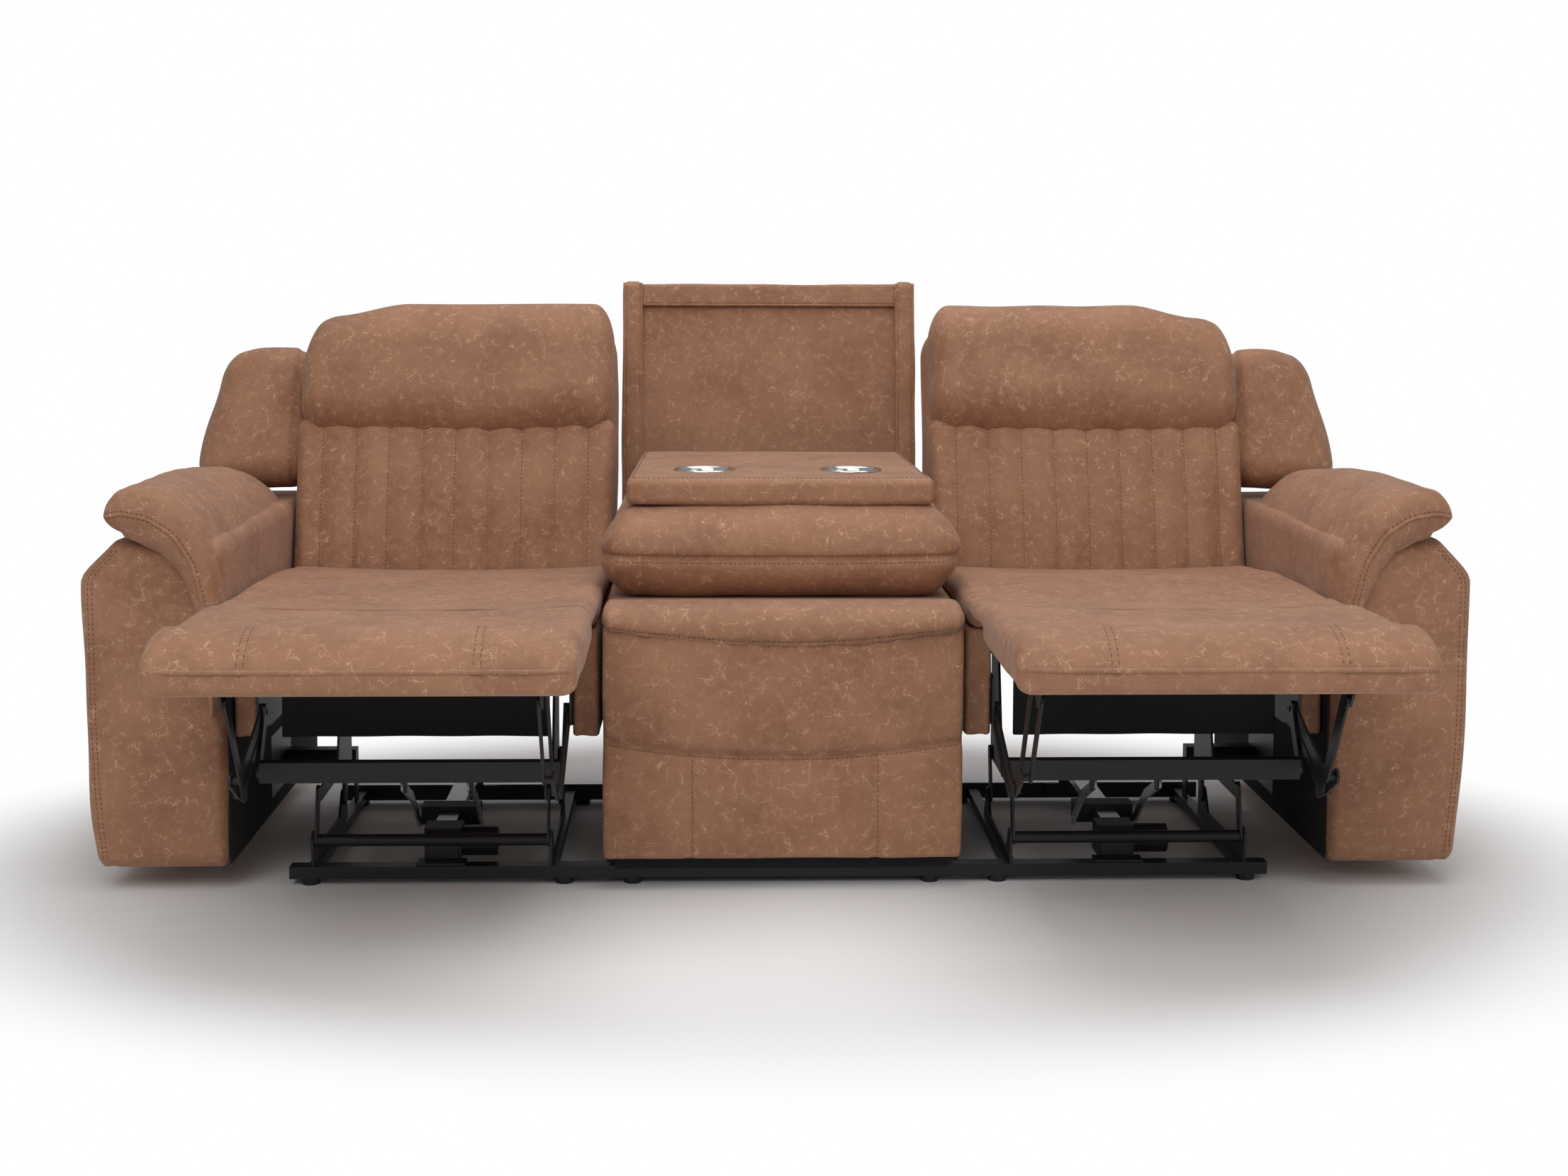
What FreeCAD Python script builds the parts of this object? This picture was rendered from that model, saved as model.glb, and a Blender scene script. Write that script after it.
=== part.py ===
"""Three-seat reclining sofa whose middle back folds down into a console with two cup holders.

Millimetres. X runs to the sitter's left seen from the front (the viewer's right), Y to the rear, Z up.
Heights and the positions along Y in the sheet are counted from the front face of the arms and the floor;
the finished part is moved back by y_mid, so that its origin is under the middle of its box.
"""
import FreeCAD, Part
import math
import os
import Sketcher

V = FreeCAD.Vector
PIN_FLATS = 10
ROUND_FLATS = 32
doc = FreeCAD.newDocument("console_sofa")
sheet = doc.addObject("Spreadsheet::Sheet", "sizes")

# Driving sizes
DRIVING = {
    # Whole sofa
    "total_width": 2240,
    "total_height": 983,
    "total_depth": 990,
    "footrest_reach": 556,
    "arm_width": 222,
    "centre_width": 590,
    "bay_gap": 5,
    # Base
    "foot_radius": 15,
    "foot_height": 11,
    "rail_depth": 30,
    "rail_height": 20,
    "rail_y": 60,
    "rail_spacing": 544,
    "rail_half_length": 808,
    "angle_height": 29,
    "steel": 3,
    "side_rail_width": 18,
    # Recline mechanism
    "base_mid_x": 575,
    "base_half": 195,
    "plate": 4,
    "plate_gap": 1,
    "pin_radius": 6,
    "pin_clearance": 0.05,
    "link_half": 9,
    "eye_radius": 12,
    "front_swing_y": 75,
    "rear_swing_y": 370,
    "swing_z": 72,
    "swing_length": 78,
    "swing_lean": 15,
    "torque_tube_radius": 10,
    "hanger_height": 22,
    "recline_y": 640,
    "recline_z": 330,
    "recline_eye": 22,
    # Footrest linkage
    "seat_plate_mid_x": 599,
    "seat_plate_half": 253,
    "rear_pivot_y": 60,
    "rear_pivot_z": 290,
    "rear_link": 230,
    "rear_link_angle": 200.8,
    "parallel_dy": 39.6,
    "parallel_dz": 14.1,
    "front_link": 247,
    "front_link_angle": 123.1,
    "support_dy": 57.2,
    "support_dz": 30,
    "support_eye_dy": 19.6,
    "support_eye_dz": 40,
    "bar_radius": 105,
    "bar_angle": 235,
    "bar_depth": 25,
    "bar_height": 33,
    "lug_dy": 6,
    "lug_drop": 26,
    # Footrest and chaise flap
    "footrest_length": 396,
    "footrest_top_z": 495,
    "footrest_thickness": 70,
    "footrest_crown": 17,
    "flap_gap": 1,
    # Drive
    "motor_x": 561,
    "motor_radius": 24,
    "motor_y": 122,
    "motor_z": 58,
    "gear_width": 61,
    "motor_length": 58,
    "track_width": 34,
    "track_top_z": 86,
    "track_height": 14,
    "carriage_y": 215,
    "carriage_z": 66,
    "strap_half": 53,
    "strap_width": 17,
    # Seats
    "seat_box_low_z": 246,
    "seat_box_top_z": 425,
    "deck_z": 345,
    "deck_thickness": 15,
    "seat_top_z": 472,
    "seat_front_y": -38,
    "nose_low_z": 449,
    "seat_rear_y": 574,
    "seat_panel_y": 66,
    # Backs
    "back_y": 585,
    "back_z": 430,
    "back_lean": 16,
    "back_height": 538,
    "head_seam_u": 320,
    "cushion_depth": 110,
    "back_depth": 200,
    "pillow_proud": 42,
    "wing_top_u": 462,
    "wing_low_u": 206,
    "wing_reach": 192,
    # Arms
    "arm_low_z": 38,
    "arm_shoulder_z": 560,
    "arm_rear_y": 860,
    "arm_tuck": 19,
    "arm_belly": 330,
    "pad_rear_y": 690,
    "pad_top_z": 668,
    "pad_drop_z": 275,
    "pad_skirt": 27,
    # Centre seat
    "plinth_top_z": 43,
    "fascia_low_z": 50,
    "fascia_y": 12,
    "centre_board": 18,
    "centre_seat_z": 465,
    "centre_seam_z": 430,
    # Console
    "hinge_y": 693,
    "hinge_z": 500,
    "tray_top_z": 660,
    "tray_thickness": 45,
    "tray_front_y": 183,
    "tray_rear_y": 763,
    "tray_front_width": 520,
    "tray_rear_width": 496,
    "cup_spacing": 256,
    "cup_y": 348,
    "cup_rim_radius": 54,
    "cup_bore_radius": 44,
    "cup_depth": 62,
    "cup_wall": 1.5,
    "cup_clearance": 0.5,
    "console_front_y": 140,
    "console_pad_width": 586,
    # Recess behind the console
    "recess_y": 872,
    "recess_z": 465,
    "recess_lean": 10,
    "recess_board": 25,
    "bolster_width": 38,
    "bolster_proud": 16,
    # Controls
    "switch_y": 300,
    "switch_z": 470,
    "switch_radius": 19,
    "switch_half": 32,
    "rocker_radius": 13,
    "rocker_half": 22,
}

# Sizes that follow from them
DERIVED = {
    "y_mid": "(total_depth - footrest_reach) / 2",
    "half_width": "total_width / 2",
    "arm_inner": "total_width / 2 - arm_width",
    "centre_half": "centre_width / 2 - 2",
    "bay_inner": "centre_width / 2 + bay_gap",
    "bay_outer": "total_width / 2 - arm_width - bay_gap",
    "rail_low_z": "foot_height",
    "rail_top_z": "foot_height + rail_height",
    "rear_rail_y": "rail_y + rail_spacing",
    "pitch": "plate + plate_gap",
    "bar_y": "rear_pivot_y + bar_radius * cos(bar_angle)",
    "bar_z": "rear_pivot_z + bar_radius * sin(bar_angle)",
    "lug_y": "bar_y + lug_dy",
    "lug_z": "bar_z - lug_drop",
    "knee_y": "rear_pivot_y + rear_link * cos(rear_link_angle)",
    "knee_z": "rear_pivot_z + rear_link * sin(rear_link_angle)",
    "eye_y": "knee_y + front_link * cos(front_link_angle)",
    "eye_z": "knee_z + front_link * sin(front_link_angle)",
    "footrest_rear_y": "footrest_length - footrest_reach",
    "seat_width": "bay_outer - bay_inner",
    "seat_mid_x": "(bay_outer + bay_inner) / 2",
    "deck_top_z": "deck_z + deck_thickness",
    "hanger_z": "swing_z + swing_length * cos(swing_lean)",
    "hanger_dy": "swing_length * sin(swing_lean)",
    "track_rear_y": "rail_y + rail_spacing - steel",
}

for row, (name, value) in enumerate(DRIVING.items(), start=1):
    sheet.set(f"A{row}", name)
    sheet.set(f"B{row}", str(value))
    sheet.setAlias(f"B{row}", name)
for row, (name, formula) in enumerate(DERIVED.items(), start=len(DRIVING) + 1):
    sheet.set(f"A{row}", name)
    sheet.set(f"B{row}", "=" + formula)
    sheet.setAlias(f"B{row}", name)
doc.recompute()


class Sizes:
    """Reads a size from the sheet as an attribute."""

    def __getattr__(self, name):
        return float(sheet.get(name))


S = Sizes()
NAMES = sorted(list(DRIVING) + list(DERIVED), key=len, reverse=True)


def bound(text):
    """The expression with the sheet's name before each alias."""
    words = []
    word = ""
    for mark in str(text) + " ":
        if mark.isalnum() or mark in "_.":
            word += mark
            continue
        words.append("sizes." + word if word in NAMES else word)
        words.append(mark)
        word = ""
    return "".join(words).strip()


def name_it(item, label):
    item.Label = label
    return item


def set_back(item):
    """Moves a finished piece from the arm's front face to the part's own origin."""
    item.setExpression("Placement.Base.y", bound("-y_mid"))
    return item


def fresh(kind, label):
    return doc.addObject(kind, label)


def box(label, x, y, z):
    """A box between three pairs of bounds, each an expression of the sheet's names."""
    item = fresh("Part::Box", label)
    for side, (low, high) in zip(("Length", "Width", "Height"), (x, y, z)):
        item.setExpression(side, bound(f"({high}) - ({low})"))
    for axis, (low, high) in zip("xyz", (x, y, z)):
        item.setExpression("Placement.Base." + axis, bound(f"{low}"))
    return item


def rod(label, x, y, z, radius):
    """A round bar along X from x[0] to x[1], about the line at y and z."""
    item = fresh("Part::Cylinder", label)
    item.Placement = FreeCAD.Placement(V(0, 0, 0), FreeCAD.Rotation(V(0, 1, 0), 90))
    item.setExpression("Radius", bound(radius))
    item.setExpression("Height", bound(f"({x[1]}) - ({x[0]})"))
    item.setExpression("Placement.Base.x", bound(x[0]))
    item.setExpression("Placement.Base.y", bound(y))
    item.setExpression("Placement.Base.z", bound(z))
    return item


def flat_sided(label, x, y, z, radius):
    """A hole or a light pin along X, drawn with flats because the mechanism has so many."""
    item = fresh("Part::Prism", label)
    item.Polygon = PIN_FLATS
    item.Placement = FreeCAD.Placement(V(0, 0, 0), FreeCAD.Rotation(V(0, 1, 0), 90))
    item.setExpression("Circumradius", bound(radius))
    item.setExpression("Height", bound(f"({x[1]}) - ({x[0]})"))
    item.setExpression("Placement.Base.x", bound(x[0]))
    item.setExpression("Placement.Base.y", bound(y))
    item.setExpression("Placement.Base.z", bound(z))
    return item


def post(label, x, y, z, radius):
    """A glide foot from z[0] to z[1], drawn with flats."""
    item = fresh("Part::Prism", label)
    item.Polygon = PIN_FLATS
    item.setExpression("Circumradius", bound(radius))
    item.setExpression("Height", bound(f"({z[1]}) - ({z[0]})"))
    item.setExpression("Placement.Base.x", bound(x))
    item.setExpression("Placement.Base.y", bound(y))
    item.setExpression("Placement.Base.z", bound(z[0]))
    return item


def origin_plane(body, role):
    return [part for part in body.Origin.OriginFeatures if part.Role == role][0]


def side_sketch(body, label):
    """A sketch on the body's YZ plane: its first axis is Y and its second is Z."""
    sketch = body.newObject("Sketcher::SketchObject", label)
    sketch.AttachmentSupport = [(origin_plane(body, "YZ_Plane"), "")]
    sketch.MapMode = "FlatFace"
    return sketch


def lock(sketch, line, end, y, z):
    """Ties a sketch point to two expressions."""
    for kind, text in (("DistanceX", y), ("DistanceY", z)):
        guess = sketch.getPoint(line, end)
        near = guess.x if kind == "DistanceX" else guess.y
        index = sketch.addConstraint(Sketcher.Constraint(kind, -1, 1, line, end, near))
        sketch.setExpression(f"Constraints[{index}]", bound(text))


def worked(text):
    """The present value of an expression, read through a cell of the sheet."""
    sheet.set("D1", "=" + str(text))
    sheet.recompute()
    return float(sheet.get("D1"))


def panel(label, outline, x):
    """A flat plate across X between two expressions, its outline points given as (y, z)."""
    body = fresh("PartDesign::Body", label)
    sketch = side_sketch(body, label + "_outline")
    spots = [V(worked(y), worked(z), 0) for y, z in outline]
    count = len(spots)
    for index, spot in enumerate(spots):
        sketch.addGeometry(Part.LineSegment(spot, spots[(index + 1) % count]), False)
    for index in range(count):
        sketch.addConstraint(Sketcher.Constraint("Coincident", index, 2, (index + 1) % count, 1))
    for index, (y, z) in enumerate(outline):
        lock(sketch, index, 1, y, z)
    pad = body.newObject("PartDesign::Pad", label + "_thickness")
    pad.Profile = sketch
    pad.Length = 1
    pad.setExpression("Length", bound(f"({x[1]}) - ({x[0]})"))
    body.setExpression("Placement.Base.x", bound(x[0]))
    return body


def strip(label, start, end, half, x):
    """A link from one (y, z) point to another, with the corners of both ends cut off."""
    run = f"(({end[0]}) - ({start[0]}))"
    rise = f"(({end[1]}) - ({start[1]}))"
    length = f"sqrt({run} * {run} + {rise} * {rise})"
    body = panel(label, [
        (f"-({half}) * tan(22.5)", f"-({half})"),
        (f"{length} + ({half}) * tan(22.5)", f"-({half})"),
        (f"{length} + ({half})", f"-({half}) * tan(22.5)"),
        (f"{length} + ({half})", f"({half}) * tan(22.5)"),
        (f"{length} + ({half}) * tan(22.5)", f"{half}"),
        (f"-({half}) * tan(22.5)", f"{half}"),
        (f"-({half})", f"({half}) * tan(22.5)"),
        (f"-({half})", f"-({half}) * tan(22.5)"),
    ], x)
    turn = math.degrees(math.atan2(worked(rise), worked(run)))
    body.Placement = FreeCAD.Placement(V(0, 0, 0), FreeCAD.Rotation(V(1, 0, 0), turn))
    body.setExpression("Placement.Rotation.Angle", bound(f"atan2({rise}; {run})"))
    body.setExpression("Placement.Base.x", bound(x[0]))
    body.setExpression("Placement.Base.y", bound(start[0]))
    body.setExpression("Placement.Base.z", bound(start[1]))
    return body


def fuse(label, pieces):
    if len(pieces) == 1:
        return pieces[0]
    item = fresh("Part::MultiFuse", label)
    item.Shapes = pieces
    item.Refine = True
    return item


def cut(label, base, tool):
    item = fresh("Part::Cut", label)
    item.Base = base
    item.Tool = tool
    return item


def group(label, pieces):
    """Separate solids that belong to one named sub-part."""
    item = fresh("Part::Compound", label)
    item.Links = pieces
    return item


def made(label, shape, place=None):
    """A soft or curved form whose shape comes from lofts."""
    item = fresh("Part::Feature", label)
    item.Shape = shape
    if place is not None:
        item.Placement = place
    return item


def mirrored(label, source):
    item = fresh("Part::Mirroring", label)
    item.Source = source
    item.Normal = V(1, 0, 0)
    return item


def shifted(label, source, x):
    """The same piece again, moved along X by an expression."""
    item = fresh("Part::Compound", label)
    item.Links = [source]
    item.setExpression("Placement.Base.x", bound(x))
    return item


PARTS = []


def keep(label, item):
    """Names a finished sub-part and puts it in the part's own frame."""
    set_back(item)
    name_it(item, label)
    PARTS.append(item)
    return item


def keep_pair(name, item):
    """Keeps a piece of the recliner at +X and its mirror image at -X."""
    keep("right_" + name, item)
    twin = mirrored("left_" + name, item)
    name_it(twin, "left_" + name)
    PARTS.append(twin)


def closed_wire(spots):
    """A closed wire of straight runs: a spot is a point, or a bend made by arc()."""
    points = [V(*spots[0])]
    for spot in spots[1:]:
        if spot[0] == "arc":
            points += chords(points[-1], V(*spot[1]), V(*spot[2]), spot[3])
        else:
            points.append(V(*spot))
    if (points[-1] - points[0]).Length < 0.001:
        points.pop()
    return Part.makePolygon(points + points[:1])


def chords(start, middle, end, count):
    """The ends of equal chords along the arc through three points."""
    curve = Part.Arc(start, middle, end)
    low, high = curve.FirstParameter, curve.LastParameter
    return [curve.value(low + (high - low) * step / count) for step in range(1, count + 1)]


def arc(middle, end, count=2):
    return ("arc", middle, end, count)


def pillow_section(plane, low, high, bulge, corner):
    """A rounded rectangle with bulging sides, as eight arcs.

    plane(a, b) turns the section's own coordinates into a point; low and high are its corners,
    bulge is how far the low-a, high-a, low-b and high-b sides swell, none for a straight side,
    and corner is the corner radius.
    """
    a0, b0 = low
    a1, b1 = high
    am, bm = (a0 + a1) / 2, (b0 + b1) / 2
    inset = corner * (1 - math.sqrt(0.5))
    wa0, wa1, wb0, wb1 = bulge

    def side(swell, middle, end):
        return arc(middle, end, 3) if swell else end

    return closed_wire([
        plane(a0 + corner, b0),
        side(wb0, plane(am, b0 - wb0), plane(a1 - corner, b0)),
        arc(plane(a1 - inset, b0 + inset), plane(a1, b0 + corner)),
        side(wa1, plane(a1 + wa1, bm), plane(a1, b1 - corner)),
        arc(plane(a1 - inset, b1 - inset), plane(a1 - corner, b1)),
        side(wb1, plane(am, b1 + wb1), plane(a0 + corner, b1)),
        arc(plane(a0 + inset, b1 - inset), plane(a0, b1 - corner)),
        side(wa0, plane(a0 - wa0, bm), plane(a0, b0 + corner)),
        arc(plane(a0 + inset, b0 + inset), plane(a0 + corner, b0)),
    ])


def loft(wires):
    """A closed body through wires of equally many points, in flat triangles between them."""
    rings = [[vertex.Point for vertex in wire.OrderedVertexes] for wire in wires]
    faces = [Part.Face(wires[0]), Part.Face(wires[-1])]
    for near, far in zip(rings, rings[1:]):
        for step in range(len(near)):
            after = (step + 1) % len(near)
            faces.append(Part.Face(Part.makePolygon([near[step], near[after], far[after], near[step]])))
            faces.append(Part.Face(Part.makePolygon([near[step], far[after], far[step], near[step]])))
    shell = Part.makeShell(faces)
    shell.sewShape()
    body = Part.Solid(shell)
    if body.Volume < 0:
        body.reverse()
    return body.removeSplitter()


def lean_place(y, z, lean):
    """The place of a piece built upright as (x, depth, height), leaning back by lean degrees."""
    return FreeCAD.Placement(V(0, y - S.y_mid, z), FreeCAD.Rotation(V(1, 0, 0), -lean))


def keep_leaning(name, shape, y, z, lean, sides=True):
    item = made(("right_" if sides else "") + name, shape, lean_place(y, z, lean))
    name_it(item, item.Name)
    PARTS.append(item)
    if sides:
        twin = mirrored("left_" + name, item)
        name_it(twin, "left_" + name)
        PARTS.append(twin)
    return item


SIDES = {"inner": -1, "outer": 1}


def layer(side, step):
    """The X bounds of a footrest-linkage plate: step 0 is the seat plate, and the rest lie inwards."""
    reach = f"seat_plate_half - {step} * pitch"
    middle = f"seat_plate_mid_x + {SIDES[side]} * ({reach})"
    return (f"{middle} - plate / 2", f"{middle} + plate / 2")


def base_layer(side, step):
    """The X bounds of a recline-linkage plate: step 0 is the base plate, and the rest lie inwards."""
    middle = f"base_mid_x + {SIDES[side]} * (base_half - {step} * pitch)"
    return (f"{middle} - plate / 2", f"{middle} + plate / 2")


def span(first, second):
    """The X bounds that take in two layers."""
    if worked(first[0]) < worked(second[0]):
        return (first[0], second[1])
    return (second[0], first[1])


def with_holes(label, plate, spots, radius, x):
    """The plate with a round hole at each (y, z) spot."""
    drills = []
    for number, spot in enumerate(spots):
        reach = (f"{x[0]} - 1", f"{x[1]} + 1")
        drills.append(flat_sided(f"{label}_drill_{number}", reach, spot[0], spot[1], radius))
    tool = drills[0] if len(drills) == 1 else fuse(label + "_drills", drills)
    return cut(label, plate, tool)


HOLE = "(pin_radius + pin_clearance) / cos(180 / 10)"
REAR_PIVOT = ("rear_pivot_y", "rear_pivot_z")
PARALLEL_PIVOT = ("rear_pivot_y + parallel_dy", "rear_pivot_z - parallel_dz")
KNEE = ("knee_y", "knee_z")
PARALLEL_KNEE = ("knee_y + parallel_dy", "knee_z - parallel_dz")
SUPPORT_KNEE = ("knee_y - support_dy", "knee_z + support_dz")
EYE = ("eye_y", "eye_z")
SUPPORT_EYE = ("eye_y - support_eye_dy", "eye_z - support_eye_dz")
BAR = ("bar_y", "bar_z")
LUG = ("lug_y", "lug_z")
RECLINE = ("recline_y", "recline_z")
SWINGS = {"front": "front_swing_y", "rear": "rear_swing_y"}


# Base that stands on the floor

def base_rails():
    front = box("front_rail", ("-rail_half_length", "rail_half_length"),
                ("rail_y", "rail_y + rail_depth"), ("rail_low_z", "rail_top_z"))
    reach = ("-rail_half_length", "rail_half_length")
    upright = box("rear_rail_web", reach, ("rear_rail_y", "rear_rail_y + steel"),
                  ("rail_low_z", "rail_low_z + angle_height"))
    flange = box("rear_rail_flange", reach, ("rear_rail_y", "rear_rail_y + rail_depth"),
                 ("rail_low_z", "rail_low_z + steel"))
    keep("base_rails", group("base_rails", [front, fuse("rear_rail", [upright, flange])]))


FOOT_X = ("-775", "-359", "-246", "246", "359", "775")


def glide_feet():
    feet = []
    for line, y in enumerate(("rail_y + rail_depth / 2", "rear_rail_y + rail_depth / 2")):
        for number, x in enumerate(FOOT_X):
            feet.append(post(f"foot_{line}_{number}", x, y, ("0", "foot_height"), "foot_radius"))
    keep("glide_feet", group("glide_feet", feet))


def mechanism_side_rails():
    """Side rails between the base rails, each with an upright plate that carries the swing pivots.

    The outer plate also carries two outriggers that hold the arm.
    """
    weldments = []
    for side in SIDES:
        x = base_layer(side, 0)
        swing = base_layer(side, 1)
        middle = f"base_mid_x + {SIDES[side]} * base_half"
        rail = box(side + "_side_rail",
                   (f"{middle} - side_rail_width / 2", f"{middle} + side_rail_width / 2"),
                   ("rail_y + rail_depth", "rear_rail_y"), ("foot_height + 2", "rail_top_z"))
        web = panel(side + "_base_plate", [
            ("rail_y + 2", "rail_top_z"),
            ("rear_swing_y + 40", "rail_top_z"),
            ("rear_swing_y + 16", "swing_z + 6"),
            ("rear_swing_y + 7", "swing_z + 15"),
            ("rear_swing_y - 7", "swing_z + 15"),
            ("rear_swing_y - 16", "swing_z + 6"),
            ("rear_swing_y - 36", "rail_top_z + 17"),
            ("rail_y + 50", "rail_top_z + 17"),
            ("front_swing_y + 16", "swing_z + 6"),
            ("front_swing_y + 7", "swing_z + 15"),
            ("front_swing_y - 7", "swing_z + 15"),
            ("front_swing_y - 15", "swing_z + 6"),
        ], x)
        pieces = [rail, web]
        for which, y in SWINGS.items():
            pieces.append(rod(f"{side}_{which}_swing_pin", span(x, swing), y, "swing_z", "pin_radius"))
        if side == "outer":
            for number, y in enumerate(("rear_swing_y + 8", "rear_rail_y - 90")):
                stand = box(f"outrigger_post_{number}", x, (y, f"{y} + 30"), ("rail_top_z", "swing_z + 56"))
                beam = box(f"outrigger_beam_{number}", (x[0], "arm_inner - plate"), (y, f"{y} + 30"),
                           ("swing_z + 30", "swing_z + 56"))
                pieces += [stand, beam]
            pieces.append(box("arm_plate", ("arm_inner - plate", "arm_inner"),
                              ("rear_swing_y", "rear_rail_y - 50"), ("swing_z", "swing_z + 110")))
        weldments.append(fuse(side + "_base_weldment", pieces))
    twins = [mirrored("left_" + item.Name, item) for item in weldments]
    keep("mechanism_side_rails", group("mechanism_side_rails", weldments + twins))


# Drive

def drive_units():
    """Gear motor, its foot bracket, the track behind it and the bracket that ties the track to the rear rail."""
    motors, tracks, brackets = [], [], []
    gear = ("motor_x - gear_width / 2", "motor_x + gear_width / 2")
    track = ("motor_x - track_width / 2", "motor_x + track_width / 2")
    rear = "motor_y + motor_radius + 3"
    case = box("gear_case", gear, ("motor_y - motor_radius", rear),
               ("motor_z - motor_radius", "track_top_z"))
    can = rod("motor_can", (gear[1], f"{gear[1]} + motor_length"), "motor_y", "motor_z", "motor_radius")
    motors.append(fuse("motor_right", [case, can]))
    motors.append(shifted("motor_left", motors[0], "-2 * motor_x"))
    keep("drive_motors", group("drive_motors", motors))

    outer = box("track_outside", track, (rear, "track_rear_y - steel"),
                ("track_top_z - track_height", "track_top_z"))
    inner = box("track_inside", (f"{track[0]} + 2", f"{track[1]} - 2"), (rear, "track_rear_y - steel"),
                ("track_top_z - track_height", "track_top_z - 2"))
    tracks.append(cut("track_right", outer, inner))
    tracks.append(mirrored("track_left", tracks[0]))
    keep("actuator_rails", group("actuator_rails", tracks))

    foot = box("motor_foot", ("motor_x - 25", "motor_x + 25"), ("motor_y - motor_radius - steel",
               "motor_y - motor_radius"), ("rail_top_z", "motor_z + 4"))
    flange = box("motor_flange", ("motor_x - 40", "motor_x + 40"),
                 ("rail_y + 4", "motor_y - motor_radius"), ("rail_top_z", "rail_top_z + 4"))
    wing = box("track_plate", ("motor_x - 44", "motor_x + 44"), ("track_rear_y - steel", "track_rear_y"),
               ("rail_low_z + steel", "rail_low_z + angle_height"))
    neck = box("track_neck", track, ("track_rear_y - steel", "track_rear_y"),
               ("rail_low_z + angle_height", "track_top_z"))
    right = [fuse("motor_bracket", [foot, flange]), fuse("track_bracket", [wing, neck])]
    left = [mirrored("left_" + item.Name, item) for item in right]
    keep("actuator_brackets", group("actuator_brackets", right + left))


def carriage():
    """A block that runs on the track and carries the pins of the drive straps."""
    gap = "plate_gap"
    half = "strap_half - plate / 2 - plate_gap"
    block = box("carriage_block", (f"motor_x - ({half})", f"motor_x + ({half})"),
                ("carriage_y - 2", "carriage_y + 40"), ("track_top_z - track_height - 10", "track_top_z + 8"))
    way = box("carriage_way", (f"motor_x - track_width / 2 - {gap} / 2", f"motor_x + track_width / 2 + {gap} / 2"),
              ("carriage_y - 3", "carriage_y + 41"),
              (f"track_top_z - track_height - {gap} / 2", f"track_top_z + {gap} / 2"))
    slot = box("carriage_slot", ("motor_x - 9", "motor_x + 9"), ("carriage_y - 3", "carriage_y + 41"),
               ("track_top_z - track_height - 11", "track_top_z - track_height"))
    keep_pair("carriage", cut("carriage_shape", block, fuse("carriage_ways", [way, slot])))


def drive_straps():
    """Two bent straps that hang on the drive bar's lugs and reach back to the carriage."""
    straps = []
    foot = ("carriage_y", "carriage_z")
    bend = ("(lug_y + carriage_y) / 2 + 6", "(lug_z + carriage_z) / 2 + 12")
    for side, sign in SIDES.items():
        middle = f"motor_x + {sign} * strap_half"
        x = (f"{middle} - plate / 2", f"{middle} + plate / 2")
        upper = strip(f"{side}_strap_upper", LUG, bend, "strap_width / 2", x)
        lower = strip(f"{side}_strap_lower", bend, foot, "strap_width / 2", x)
        blank = fuse(f"{side}_strap_blank", [upper, lower])
        straps.append(with_holes(f"{side}_strap", blank, [LUG], HOLE, x))
    keep_pair("drive_straps", group("drive_straps", straps))


# Recline linkage

def swings():
    """Swing links, one at each end of a side rail; a tube joins the front pair at their lower ends."""
    for which, y in SWINGS.items():
        pieces = []
        for side in SIDES:
            x = base_layer(side, 1)
            holes = [(y, "swing_z"), (f"{y} + hanger_dy", "hanger_z")]
            link = strip(f"{which}_{side}_swing", holes[0], holes[1], "eye_radius", x)
            pieces.append(with_holes(f"{which}_{side}_swing_link", link, holes, HOLE, x))
        if which == "rear":
            keep_pair("rear_swing", group("rear_swing", pieces))
            continue
        reach = (base_layer("inner", 1)[1], base_layer("outer", 1)[0])
        pieces.append(rod("front_tube", reach, y, "swing_z", "torque_tube_radius"))
        keep_pair("front_swing", fuse("front_swing", pieces))


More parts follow.
